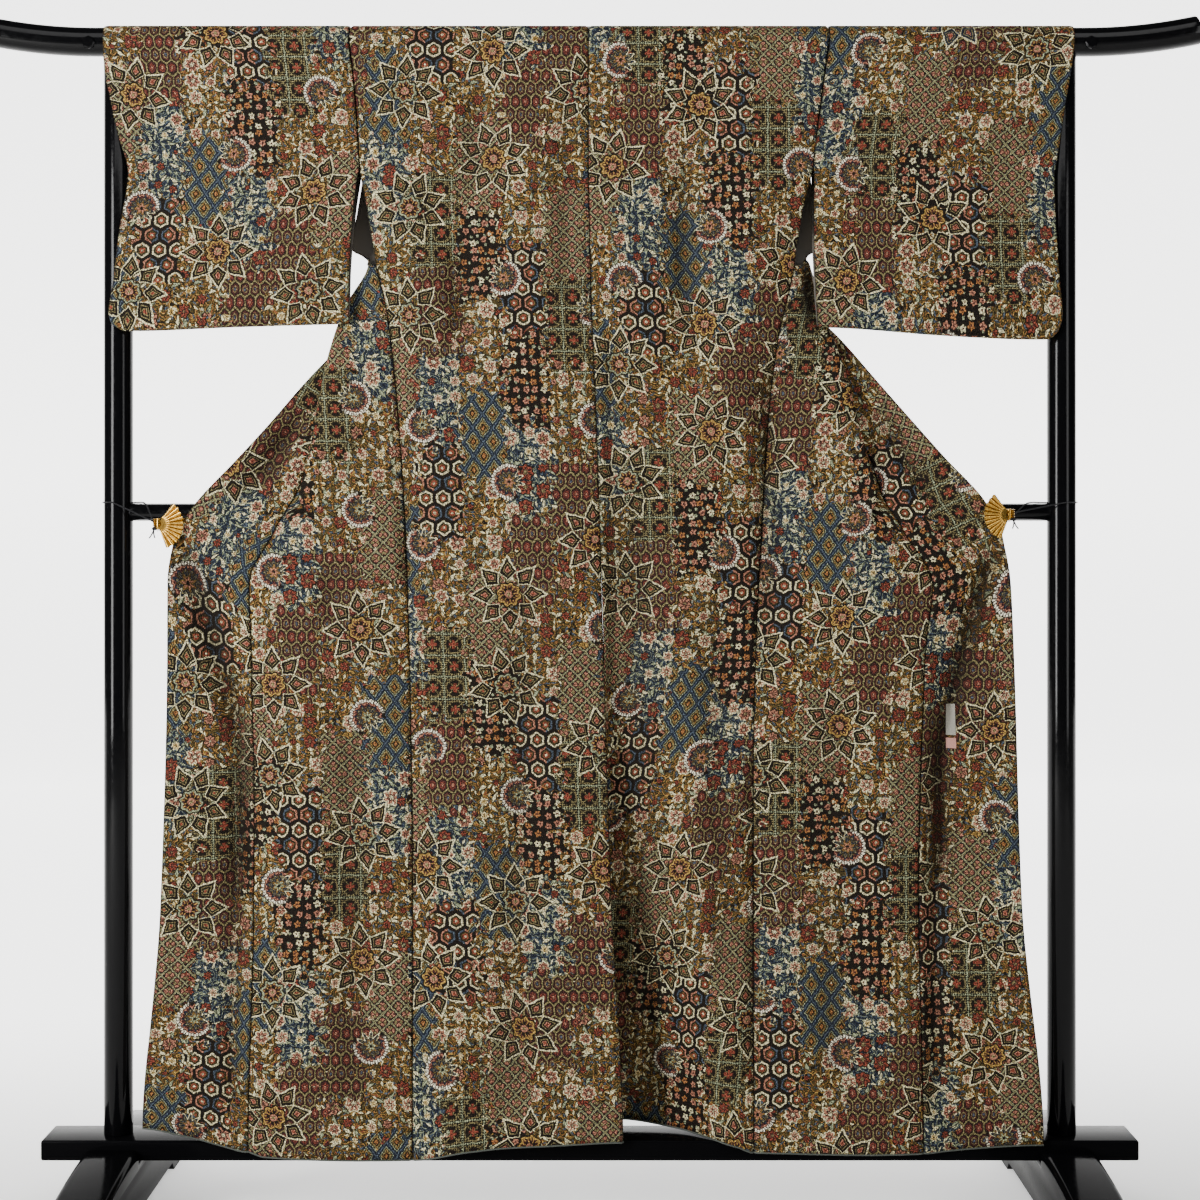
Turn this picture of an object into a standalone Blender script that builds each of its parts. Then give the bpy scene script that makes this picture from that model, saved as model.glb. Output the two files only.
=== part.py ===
"""A lined kimono seen from its back, hung through its sleeves on the top rail of a lacquered kimono stand.

The two fronts are opened out to the sides and held by a fan-shaped clip on each side. The cloth is a thin
wall: every panel is a grid of points worked out from short tables of plan sections, one row for a height.
Tables are in millimetres. X runs to the right of the back view, Y away from it and Z up from the floor.
"""
import math
from types import SimpleNamespace

import bmesh
import bpy
from mathutils import Vector

MM = 0.001

# The stand
RAIL_RADIUS = 20.0
RAIL_HEIGHT = 1636.0
RAIL_HALF_LENGTH = 851.0
RAIL_STRAIGHT_HALF = 690.0
RAIL_END_RISE = 17.0
RAIL_END_STEPS = 6
RAIL_RESOLUTION = 10
POST_RADIUS = 20.0
POST_X = 660.0
POST_SEGMENTS = 24
BAR_RADIUS = 12.3
BAR_HEIGHT = 978.0
BAR_SEGMENTS = 20
PLANK_HALF_LENGTH = 759.0
PLANK_DEPTH = 75.0
PLANK_BOTTOM = 81.0
PLANK_TOP = 109.0
PLANK_ROUNDING = 4.0
FOOT_HALF_LENGTH = 250.0
FOOT_WIDTH = 77.0
FOOT_TOP = 96.6
FOOT_TOP_CURVE = 0.0004
FOOT_ARCH_HALF = 185.0
FOOT_ARCH_HEIGHT = 13.0
FOOT_ARCH_SLOPE = 12.0
FOOT_CROWN_ABOVE = 33.0
FOOT_CROWN_STEPS = 5
FOOT_END_STEPS = 4
FOOT_END_RADIUS = 25.0
FOOT_EDGE_ROUNDING = 5.0
SEAT_GAP = 0.3
SEAT_SEGMENTS = 48
SEAT_LENGTH = 80.0

# The cloth
CLOTH_WALL = 1.5
SEAM_GAP = 0.3
CLOTH_OVER_RAIL = 22.3
WRAP_STEPS = 4
NECK_HALF_WIDTH = 92.0
COLLAR_WIDTH = 55.0
COLLAR_WALL = 3.0
COLLAR_LOW = 940.0
COLLAR_HIGH = 1600.0
COLLAR_FLAT_FROM = 1400.0
COLLAR_GAP = 1.2
COLLAR_INSET = 1.0
COLLAR_DEPTH_STEPS = 20
NECK_COLLAR_LOW = 1604.0
NECK_COLLAR_COLUMNS = 6
OKUMI_TIP_HEIGHT = 1430.0
UNDERARM = 1321.0
SLEEVE_JOIN = 1457.0

# Heights of the grid rows, from the hem row up to the middle of the rail
HEM_LEVEL = 100
LEVELS = (HEM_LEVEL, 260, 440, 620, 780, 880, 950, 965, 975, 985, 1000, 1050, 1100, 1160, 1220, 1270,
          UNDERARM, 1328, 1335, 1350, 1400, SLEEVE_JOIN, 1540, 1558, 1574, 1588, 1600, RAIL_HEIGHT)

# Control points of a front's plan curve between which its columns are shared out, and the shares
CURVE_STEPS = 10
FRONT_STOPS = (0, 2, 3, 4, 6, 7, 8, 9)
FRONT_SPANS = (5, 2, 2, 4, 2, 2, 5)
OKUMI_STOPS = (9, 10, 11)
OKUMI_SPANS = (3, 3)
TURN_REACH = 7.0
TURN_SHARE = 0.3
BACK_COLUMNS = 12
COLLAR_COLUMNS = 4
SLEEVE_STATIONS = 10

# Plan sections of the left back, from the centre seam to the side
BACK_LEFT = dict(
    names=("height", "centre_x", "centre_y", "crest_x", "crest_y", "hollow_x", "hollow_y",
           "swell_x", "swell_y", "side_x", "side_y"),
    rows=((100, 46, -52, -60, -58, -130, -55, -190, -58, -244, -52),
          (440, 30, -50, -65, -54, -130, -52, -190, -54, -244, -46),
          (780, 19, -46, -70, -50, -140, -47, -200, -49, -249, -40),
          (950, 14, -42, -75, -46, -150, -43, -210, -44, -256, -34),
          (1100, 9, -38, -80, -42, -165, -38, -220, -40, -265, -28),
          (1220, 4, -34, -85, -38, -175, -30, -235, -35, -277, -22),
          (1270, 2, -32, -85, -36, -175, -27, -240, -32, -285, -18),
          (UNDERARM, 1, -30, -85, -34, -172, -25, -250, -29, -298, -14),
          (1350, 0, -29.5, -85, -33, -170, -24, -252, -29, -302, -18),
          (1400, -1, -28.5, -85, -31, -168, -23, -258, -28, -310, -23),
          (SLEEVE_JOIN, -2, -27, -85, -29, -165, -22.5, -260, -27, -320, -24.5),
          (1540, -2, -25, -85, -26, -165, -22.6, -260, -25, -325, -24),
          (1600, -2, -22.8, -85, -23, -165, -22.4, -260, -23, -331, -23),
          (RAIL_HEIGHT, -2, -22.3, -85, -22.3, -165, -22.3, -260, -22.3, -335, -22.3)))

# Plan sections of the right back: a deep fold runs down beside the centre seam
BACK_RIGHT = dict(
    names=("height", "centre_x", "centre_y", "dip_x", "dip_y", "rise_x", "rise_y",
           "swell_x", "swell_y", "side_x", "side_y"),
    rows=((100, 46, -52, 34, 32, 120, 8, 190, -50, 226, -48),
          (260, 38, -50, 28, 22, 110, -2, 175, -50, 226, -46),
          (440, 30, -49, 24, 8, 95, -18, 160, -50, 226, -45),
          (620, 22, -47, 24, -14, 85, -34, 150, -49, 226, -42),
          (780, 19, -45, 34, -31, 85, -43, 155, -47, 229, -40),
          (950, 14, -42, 55, -39, 105, -44, 170, -43, 238, -34),
          (1100, 9, -38, 70, -40, 130, -38, 190, -40, 248, -28),
          (1220, 4, -34, 80, -36, 140, -29, 205, -35, 262, -22),
          (1270, 2, -32, 80, -35, 140, -27, 210, -32, 274, -18),
          (UNDERARM, 1, -30, 80, -33, 140, -25, 215, -29, 285, -14),
          (1350, 0, -29.5, 80, -32, 135, -25, 220, -29, 289, -18),
          (1400, -1, -28.5, 80, -30, 135, -24, 225, -28, 297, -23),
          (SLEEVE_JOIN, -2, -27, 80, -28, 135, -23, 240, -27, 310, -24.5),
          (1540, -2, -25, 80, -25.5, 135, -22.6, 250, -25, 320, -24),
          (1600, -2, -22.8, 80, -23, 135, -22.4, 250, -23, 328, -23),
          (RAIL_HEIGHT, -2, -22.3, 80, -22.3, 135, -22.3, 250, -22.3, 333, -22.3)))

# Plan sections of an opened front. Above the clip the slack cloth doubles back on itself: out to the fold,
# in to the tuck, and out again past the seam of the overlap panel to the edge.
FRONT_NAMES = ("height", "fold_x", "fold_y", "fold_bend", "tuck_x", "tuck_y", "tuck_bend",
               "seam_x", "seam_y", "valley_x", "valley_y", "edge_x", "edge_y")
FRONT_LEFT = dict(
    names=FRONT_NAMES,
    rows=((HEM_LEVEL, -395, -57, 0, -430, -56, 0, -470, -52, -502, -43, -616, -47),
          (440, -395, -53, 0, -430, -52, 0, -463, -47, -495, -34, -592, -43),
          (780, -395, -49, 0, -430, -48, 0, -467, -42, -500, -31, -584, -38),
          (880, -388, -46, 0, -422, -44, 0, -471, -37, -515, -32, -584, -36),
          (950, -380, -43, 0, -408, -41, 0, -437, -34, -500, -31, -573, -34),
          (965, -386, -43, 0, -400, -35, 0, -430, -31, -495, -30, -563, -33),
          (975, -391, -43, 0, -393, -31, 0, -424, -29, -490, -29.5, -557, -32.5),
          (985, -397, -41, 2, -385, -29.5, 2, -418, -27, -486, -29, -550, -32),
          (1000, -402, -37, 4, -378, -29, 4, -409, -25, -480, -28, -538, -31),
          (1050, -391, -31, 6, -343, -19, 6, -391, -14, -440, -19, -491, -25),
          (1100, -382, -26, 6, -311, -11, 6, -358, -6, -402, -11, -447, -17),
          (1160, -373, -18, 6, -272, -3, 6, -321, 2, -359, -2, -397, -7),
          (1220, -359, -7, 6, -228, 5, 6, -282, 11, -312, 10.5, -342, 10),
          (1270, -341, 1, 6, -184, 12, 6, -246, 18, -268, 18.5, -290, 19),
          (UNDERARM, -311, -1, 5, -140, 17, 6, -216, 24.5, -231, 25, -246, 26),
          (1328, -310, 4, 1.5, -137.5, 18, 6, -212, 25, -226, 26, -240, 26.5),
          (1335, -309, 8, 0, -135, 19, 6, -208, 26, -220, 26.5, -233, 27),
          (1350, -314, 15, 0, -130, 20, 6, -201, 26.5, -211, 27, -222, 28),
          (1400, -306, 20.5, 0, -122, 21, 6, -184, 27.5, -188, 28, -192, 29),
          (SLEEVE_JOIN, -298, 18.5, 0, -112, 21.5, 6, -165, 30, -165, 30, -165, 30),
          (1540, -303, 21.5, 0, -107, 22, 4.5, -128, 28, -128, 28, -128, 28),
          (1558, -304, 21.8, 0, -106, 22.2, 2, -116, 28.5, -116, 28.5, -116, 28.5),
          (1574, -306, 22, 0, -105, 22.3, 0, -106, 28.5, -106, 28.5, -106, 28.5),
          (1588, -307, 22.2, 0, -104.5, 22.4, 0, -99.5, 26, -99.5, 26, -99.5, 26),
          (1600, -308, 22.3, 0, -104, 22.4, 0, -96, 23.2, -96, 23.2, -96, 23.2),
          (RAIL_HEIGHT, -311, 22.3, 0, -105, 22.3, 0, -92.5, 22.3, -92.5, 22.3, -92.5, 22.3)))
FRONT_RIGHT = dict(
    names=FRONT_NAMES,
    rows=((HEM_LEVEL, 395, -57, 0, 430, -56, 0, 459, -52, 495, -43, 625, -47),
          (440, 392, -53, 0, 426, -52, 0, 453, -47, 488, -34, 596, -43),
          (780, 390, -49, 0, 424, -48, 0, 463, -42, 493, -31, 586, -38),
          (880, 388, -46, 0, 422, -44, 0, 474, -37, 513, -32, 582, -36),
          (950, 378, -43, 0, 404, -41, 0, 435, -34, 497, -31, 570, -34),
          (965, 384, -43, 0, 397, -35, 0, 428, -31, 493, -30, 563, -33),
          (975, 388, -43, 0, 390, -31, 0, 421, -29, 488, -29.5, 558, -32.5),
          (985, 393, -41, 2, 381, -29.5, 2, 414, -27, 483, -29, 552, -32),
          (1000, 397, -37, 4, 374, -29, 4, 406, -25, 476, -28, 542, -31),
          (1050, 386, -31, 6, 338, -19, 6, 391, -14, 443, -19, 496, -25),
          (1100, 374, -26, 6, 306, -11, 6, 363, -6, 408, -11, 453, -17),
          (1160, 360, -18, 6, 268, -3, 6, 328, 2, 365, -2, 402, -7),
          (1220, 340, -7, 6, 224, 5, 6, 292, 11, 322, 10.5, 353, 10),
          (1270, 322, 1, 6, 182, 12, 6, 257, 18, 280, 18.5, 303, 19),
          (UNDERARM, 309, 1, 5, 140, 17, 6, 223, 24.5, 239, 25, 255, 26),
          (1328, 307, 4, 1.5, 137.5, 18, 6, 218, 25, 232, 26, 246, 26.5),
          (1335, 302, 8, 0, 135, 19, 6, 213, 26, 226, 26.5, 238, 27),
          (1350, 300, 15, 0, 130, 20, 6, 205, 26.5, 215, 27, 226, 28),
          (1400, 296, 20.5, 0, 122, 21, 6, 186, 27.5, 190, 28, 194, 29),
          (SLEEVE_JOIN, 288, 18.5, 0, 112, 21.5, 6, 166, 30, 166, 30, 166, 30),
          (1540, 298, 21.5, 0, 107, 22, 4.5, 128, 28, 128, 28, 128, 28),
          (1558, 300, 21.8, 0, 106, 22.2, 2, 116, 28.5, 116, 28.5, 116, 28.5),
          (1574, 302, 22, 0, 105, 22.3, 0, 106, 28.5, 106, 28.5, 106, 28.5),
          (1588, 304, 22.2, 0, 104.5, 22.4, 0, 99.5, 26, 99.5, 26, 99.5, 26),
          (1600, 305, 22.3, 0, 104, 22.4, 0, 96, 23.2, 96, 23.2, 96, 23.2),
          (RAIL_HEIGHT, 309, 22.3, 0, 105, 22.3, 0, 92.5, 22.3, 92.5, 22.3, 92.5, 22.3)))

# Edge of the fronts above the side seam, where they hang free of the backs and meet the sleeves
ARMHOLE = dict(
    names=("height", "left_x", "right_x", "y"),
    rows=((1328, -311, 298, -6),
          (1335, -321, 307, 2),
          (1350, -336, 318, 14),
          (1400, -328, 317, 20),
          (SLEEVE_JOIN, -320, 310, 17),
          (1540, -325, 320, 21),
          (1600, -331, 328, 22.3),
          (RAIL_HEIGHT, -335, 333, 22.3)))

# Height of the hem along each panel, from its seam nearer the centre outward
HEM_NAMES = ("share", "height")
HEM = {
    "back_left": dict(names=HEM_NAMES, rows=((0.0, 111), (0.36, 108), (0.75, 99), (1.0, 87))),
    "back_right": dict(names=HEM_NAMES,
                       rows=((0.0, 111), (0.3, 119), (0.6, 114), (0.82, 110.5), (0.92, 105), (1.0, 96))),
    "front_left": dict(names=HEM_NAMES, rows=((0.0, 87), (0.2, 87), (0.9, 92), (1.0, 98))),
    "front_right": dict(names=HEM_NAMES, rows=((0.0, 96), (0.5, 95), (1.0, 96))),
    "okumi_left": dict(names=HEM_NAMES, rows=((0.0, 98), (0.6, 117), (1.0, 129))),
    "okumi_right": dict(names=HEM_NAMES, rows=((0.0, 96), (1.0, 106)))}

# Edges of the sleeves, and how far its near and far layers stand from the middle of the rail
SLEEVE_NAMES = ("height", "inner_x", "outer_x", "near_y", "far_y", "pinch_y")
SLEEVE_LEFT = dict(
    names=SLEEVE_NAMES,
    rows=((1226, -333, -660, -28, -18, -20.8),
          (1250, -334, -668, -28, -16, -20.8),
          (1300, -334, -661, -27, -7, -20.8),
          (1350, -332, -656, -26, 0, -20.8),
          (1400, -328, -648, -25.5, 9, -20.8),
          (1446, -322, -641, -25, 14, -20.8),
          (SLEEVE_JOIN, -320.5, -642, -24.5, 17, -8),
          (1500, -323, -655, -24.3, 19, 6),
          (1540, -325.5, -664, -24, 21, 16),
          (1600, -331.5, -675, -23, 22.3, 22.3),
          (RAIL_HEIGHT, -335.5, -677, -22.3, 22.3, 22.3)))
SLEEVE_RIGHT = dict(
    names=SLEEVE_NAMES,
    rows=((1222, 316, 650, -28, -18, -20.8),
          (1250, 315, 656, -28, -16, -20.8),
          (1300, 313, 652, -27, -7, -20.8),
          (1350, 311, 649, -26, 0, -20.8),
          (1400, 311, 646, -25.5, 9, -20.8),
          (1446, 311.5, 645, -25, 14, -20.8),
          (SLEEVE_JOIN, 310.5, 647, -24.5, 17, -8),
          (1500, 315, 654, -24.3, 19, 6),
          (1540, 320.5, 660, -24, 21, 16),
          (1600, 328.5, 670, -23, 22.3, 22.3),
          (RAIL_HEIGHT, 333.5, 674, -22.3, 22.3, 22.3)))
SLEEVE_BOTTOM = dict(
    names=("share", "left", "right"),
    rows=((0.0, 1242, 1237), (0.1, 1241, 1236), (0.5, 1237, 1226), (0.9, 1232, 1220), (1.0, 1242, 1232)))
CUFF_BEHIND_POST = 630.0
PINCH_FROM = 0.5
PINCH_REACH = 0.4
SLEEVE_LEVELS = (1265, 1310, 1350, 1400, 1446, SLEEVE_JOIN, 1500, 1540, 1600, RAIL_HEIGHT)
SLEEVE_BOTTOM_DROP = 3.0

# The clips: a pleated fan plate in front of the cloth, a jaw behind it and a spring barrel between them
CLIP_HEIGHT = {"left": 961.0, "right": 974.0}
CLIP_PIVOT_X = {"left": -597.0, "right": 580.0}
FAN_RADIUS = 36.0
FAN_HUB_RADIUS = 5.0
FAN_PLEATS = 11
FAN_UP_ANGLE = 54.0
FAN_DOWN_ANGLE = -70.0
FAN_PLEAT_DEPTH = 0.8
FAN_MIDDLE_SHARE = 0.42
FAN_THICKNESS = 1.2
FAN_BACK = -36.4
JAW_FRONT = -24.5
JAW_THICKNESS = 2.0
JAW_LENGTH = 40.0
JAW_HEIGHT = 16.0
JAW_ARC_STEPS = 8
BARREL_RADIUS = 3.5
BARREL_Y = -32.6
CORD_RADIUS = 1.0
CORD_ENDS_APART = 5.0
CORD_TURNS = 16
CORD_RESOLUTION = 2


def row_at(table, height):
    """The table's named values at one height, on a curve that never overshoots its rows."""
    names = table["names"]
    rows = table["rows"]
    keys = [row[0] for row in rows]
    place = min(max(height, keys[0]), keys[-1])
    low = 0
    while low < len(keys) - 2 and place > keys[low + 1]:
        low += 1
    span = keys[low + 1] - keys[low]
    t = (place - keys[low]) / span
    values = {names[0]: height}
    for column in range(1, len(names)):
        slopes = [steady_slope(rows, column, index) for index in (low, low + 1)]
        start = rows[low][column]
        end = rows[low + 1][column]
        values[names[column]] = (start * (1 + 2 * t) * (1 - t) ** 2 + slopes[0] * span * t * (1 - t) ** 2
                                 + end * t * t * (3 - 2 * t) + slopes[1] * span * t * t * (t - 1))
    return SimpleNamespace(**values)


def steady_slope(rows, column, index):
    """Slope of a column at one of its rows: level at the ends and wherever the column turns back."""
    if index == 0 or index == len(rows) - 1:
        return 0.0
    before = (rows[index][column] - rows[index - 1][column]) / (rows[index][0] - rows[index - 1][0])
    after = (rows[index + 1][column] - rows[index][column]) / (rows[index + 1][0] - rows[index][0])
    if before * after <= 0:
        return 0.0
    return 2 * before * after / (before + after)


def smooth_plan(points, steps=CURVE_STEPS):
    """A centripetal curve through plan points, as many short straight steps."""
    first = points[0] * 2 - points[1]
    last = points[-1] * 2 - points[-2]
    chain = [first, *points, last]
    curve = [points[0].copy()]
    for index in range(1, len(chain) - 2):
        p0, p1, p2, p3 = chain[index - 1:index + 3]
        t1 = math.sqrt((p1 - p0).length)
        t2 = t1 + math.sqrt((p2 - p1).length)
        t3 = t2 + math.sqrt((p3 - p2).length)
        for step in range(1, steps + 1):
            t = t1 + (t2 - t1) * step / steps
            a1 = p0 * ((t1 - t) / t1) + p1 * (t / t1)
            a2 = p1 * ((t2 - t) / (t2 - t1)) + p2 * ((t - t1) / (t2 - t1))
            a3 = p2 * ((t3 - t) / (t3 - t2)) + p3 * ((t - t2) / (t3 - t2))
            b1 = a1 * ((t2 - t) / t2) + a2 * (t / t2)
            b2 = a2 * ((t3 - t) / (t3 - t1)) + a3 * ((t - t1) / (t3 - t1))
            curve.append(b1 * ((t2 - t) / (t2 - t1)) + b2 * ((t - t1) / (t2 - t1)))
    return curve


def curve_length(curve):
    return sum((b - a).length for a, b in zip(curve, curve[1:]))


def point_along(curve, distance):
    """The point that lies a distance along a curve of short steps."""
    left = distance
    for a, b in zip(curve, curve[1:]):
        step = (b - a).length
        if left <= step:
            return a.lerp(b, left / step if step > 0 else 0.0)
        left -= step
    return curve[-1].copy()


def spread(curve, start, end, count):
    """Points at even distances along a stretch of a curve."""
    return [point_along(curve, start + (end - start) * step / count) for step in range(count + 1)]


def raise_row(plan, height, hem):
    """A plan row lifted to its height; the lowest row follows the panel's own hem."""
    if height > HEM_LEVEL:
        return [Vector((p.x, p.y, height)) for p in plan]
    row = [Vector((p.x, p.y, 0.0)) for p in plan]
    length = curve_length(row)
    for index, point in enumerate(row):
        point.z = row_at(hem, curve_length(plan[:index + 1]) / length).height
    return row


def wrap_rows(row, direction, first, last):
    """Rows that carry the row at the rail's middle over its top, in equal turns."""
    rows = []
    for step in range(first, last + 1):
        turn = math.radians(90.0 * step / WRAP_STEPS)
        y = direction * CLOTH_OVER_RAIL * math.cos(turn)
        z = RAIL_HEIGHT + CLOTH_OVER_RAIL * math.sin(turn)
        rows.append([Vector((p.x, y, z)) for p in row])
    return rows


def back_plan(table, height):
    """Plan curve of a back panel at one height, from the centre seam to the side."""
    row = row_at(table, height)
    names = table["names"]
    points = [Vector((getattr(row, names[i]), getattr(row, names[i + 1]))) for i in range(1, len(names), 2)]
    return smooth_plan(points)


def front_side(side, height):
    """Where an opened front starts: at the side seam, or at the armhole above it."""
    if height > UNDERARM:
        row = row_at(ARMHOLE, height)
        return Vector((getattr(row, f"{side}_x"), row.y))
    row = row_at(BACK_LEFT if side == "left" else BACK_RIGHT, height)
    return Vector((row.side_x, row.side_y))


def turn_points(before, tip, after, bend):
    """Three points that carry a plan curve round a fold's tip, a bend in front of it and a bend behind."""
    reach_in = min(TURN_REACH, TURN_SHARE * (tip - before).length)
    reach_out = min(TURN_REACH, TURN_SHARE * (after - tip).length)
    coming = tip - (tip - before).normalized() * reach_in - Vector((0.0, bend))
    going = tip + (after - tip).normalized() * reach_out + Vector((0.0, bend))
    return [coming, tip, going]


def front_plan(side, height):
    """Plan curve of an opened front at one height, from its side past the fold and the tuck to its edge."""
    row = row_at(FRONT_LEFT if side == "left" else FRONT_RIGHT, height)
    start = front_side(side, height)
    fold = Vector((row.fold_x, row.fold_y))
    tuck = Vector((row.tuck_x, row.tuck_y))
    seam = Vector((row.seam_x, row.seam_y))
    around_fold = turn_points(start, fold, tuck, row.fold_bend)
    around_tuck = turn_points(fold, tuck, seam, row.tuck_bend)
    points = [start, start.lerp(around_fold[0], 0.5), *around_fold,
              around_fold[2].lerp(around_tuck[0], 0.5), *around_tuck, seam]
    if height < OKUMI_TIP_HEIGHT:
        points += [Vector((row.valley_x, row.valley_y)), Vector((row.edge_x, row.edge_y))]
    return smooth_plan(points)


def share_columns(curve, stops, spans):
    """Columns of a curve: an even number of them between each two of the named control points."""
    columns = [curve[stops[0] * CURVE_STEPS].copy()]
    for start, end, count in zip(stops, stops[1:], spans):
        stretch = curve[start * CURVE_STEPS:end * CURVE_STEPS + 1]
        columns += spread(stretch, 0.0, curve_length(stretch), count)[1:]
    return columns


def grid_normals(grid, ring=False):
    """Unit normals of a grid of points, from the differences between neighbours."""
    rows = len(grid)
    columns = len(grid[0])
    normals = []
    for r in range(rows):
        line = []
        for c in range(columns):
            up = grid[min(r + 1, rows - 1)][c] - grid[max(r - 1, 0)][c]
            if ring:
                along = grid[r][(c + 1) % columns] - grid[r][c - 1]
            else:
                along = grid[r][min(c + 1, columns - 1)] - grid[r][max(c - 1, 0)]
            line.append(along.cross(up).normalized())
        normals.append(line)
    for line, directions in zip(grid, normals):
        for c, point in enumerate(line):
            if point.z >= RAIL_HEIGHT:
                directions[c] = Vector((0.0, point.y, point.z - RAIL_HEIGHT)).normalized()
    return normals


def share_seam(normals_a, column_a, normals_b, column_b, rows):
    """Give two panels the same normals along the seam that joins them."""
    for r in range(rows):
        both = (normals_a[r][column_a] + normals_b[r][column_b]).normalized()
        normals_a[r][column_a] = both.copy()
        normals_b[r][column_b] = both.copy()


def draw_back_column(grid, column, neighbour):
    """Draw one edge of a grid back by half a seam gap."""
    for line in grid:
        step = line[neighbour] - line[column]
        line[column] = line[column] + step.normalized() * (SEAM_GAP / 2)


def draw_back_row(grid, row, neighbour):
    for c, point in enumerate(grid[row]):
        step = grid[neighbour][c] - point
        grid[row][c] = point + step.normalized() * (SEAM_GAP / 2)


def finish(name, colour, roughness, metallic=0.0):
    material = bpy.data.materials.new(name)
    material.use_nodes = True
    shader = material.node_tree.nodes["Principled BSDF"]
    shader.inputs["Base Color"].default_value = (*colour, 1.0)
    shader.inputs["Roughness"].default_value = roughness
    shader.inputs["Metallic"].default_value = metallic
    return material


def add_object(name, bm, material, smooth_angle=40.0):
    """Finish a bmesh made in millimetres as a named object in metres."""
    bmesh.ops.recalc_face_normals(bm, faces=bm.faces)
    bmesh.ops.scale(bm, vec=(MM, MM, MM), verts=bm.verts)
    mesh = bpy.data.meshes.new(name)
    bm.to_mesh(mesh)
    bm.free()
    mesh.shade_smooth()
    mesh.set_sharp_from_angle(angle=math.radians(smooth_angle))
    mesh.materials.append(material)
    obj = bpy.data.objects.new(name, mesh)
    bpy.context.scene.collection.objects.link(obj)
    return obj


def wall(name, grid, normals, material, thickness=CLOTH_WALL, ring=False):
    """A closed wall: the grid is its outer face, and its inner face lies one thickness behind it."""
    bm = bmesh.new()
    outer = [[bm.verts.new(p) for p in line] for line in grid]
    inner = [[bm.verts.new(p - n * thickness) for p, n in zip(points, directions)]
             for points, directions in zip(grid, normals)]
    rows = len(grid)
    columns = len(grid[0])
    across = columns if ring else columns - 1
    for layer in (outer, inner):
        for r in range(rows - 1):
            for c in range(across):
                d = (c + 1) % columns
                bm.faces.new((layer[r][c], layer[r][d], layer[r + 1][d], layer[r + 1][c]))
    for r in (0, rows - 1):
        for c in range(across):
            d = (c + 1) % columns
            bm.faces.new((outer[r][c], outer[r][d], inner[r][d], inner[r][c]))
    if not ring:
        for c in (0, columns - 1):
            for r in range(rows - 1):
                bm.faces.new((outer[r][c], outer[r + 1][c], inner[r + 1][c], inner[r][c]))
    return add_object(name, bm, material)


def back_grid(name, table):
    """Outer points of a back panel, from the hem up to the shoulder line on top of the rail."""
    grid = []
    for height in LEVELS:
        curve = back_plan(table, height)
        plan = spread(curve, 0.0, curve_length(curve), BACK_COLUMNS)
        grid.append(raise_row(plan, height, HEM[name]))
    grid += wrap_rows(grid[-1], -1.0, 1, WRAP_STEPS)
    return grid


def opened_front_grids(side):
    """Outer points of a front panel and of the overlap panel sewn to its front edge."""
    front = []
    okumi = []
    for height in LEVELS:
        curve = front_plan(side, height)
        front.append(raise_row(share_columns(curve, FRONT_STOPS, FRONT_SPANS), height, HEM[f"front_{side}"]))
        if height < OKUMI_TIP_HEIGHT:
            plan = share_columns(curve, OKUMI_STOPS, OKUMI_SPANS)
            okumi.append(raise_row(plan, height, HEM[f"okumi_{side}"]))
    front += wrap_rows(front[-1], 1.0, 1, WRAP_STEPS)
    return front, okumi


def make_body_panels(cloth):
    """Backs, fronts and overlap panels, each cut 0.3 mm short of its neighbours at the seams."""
    seam_rows = LEVELS.index(UNDERARM) + 1
    grids = {"back_left": back_grid("back_left", BACK_LEFT),
             "back_right": back_grid("back_right", BACK_RIGHT)}
    grids["front_left"], grids["okumi_left"] = opened_front_grids("left")
    grids["front_right"], grids["okumi_right"] = opened_front_grids("right")
    for name in ("back_left", "front_left", "okumi_left"):
        grids[name] = [list(reversed(line)) for line in grids[name]]
    normals = {name: grid_normals(grid) for name, grid in grids.items()}
    share_seam(normals["back_left"], -1, normals["back_right"], 0, len(grids["back_left"]))
    share_seam(normals["front_left"], -1, normals["back_left"], 0, seam_rows)
    share_seam(normals["okumi_left"], -1, normals["front_left"], 0, len(grids["okumi_left"]))
    share_seam(normals["back_right"], -1, normals["front_right"], 0, seam_rows)
    share_seam(normals["front_right"], -1, normals["okumi_right"], 0, len(grids["okumi_right"]))
    for name, grid in grids.items():
        draw_back_column(grid, 0, 1)
        draw_back_column(grid, -1, -2)
        if "okumi" not in name:
            draw_back_row(grid, -1, -2)
        wall(name, grid, normals[name], cloth)


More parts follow.
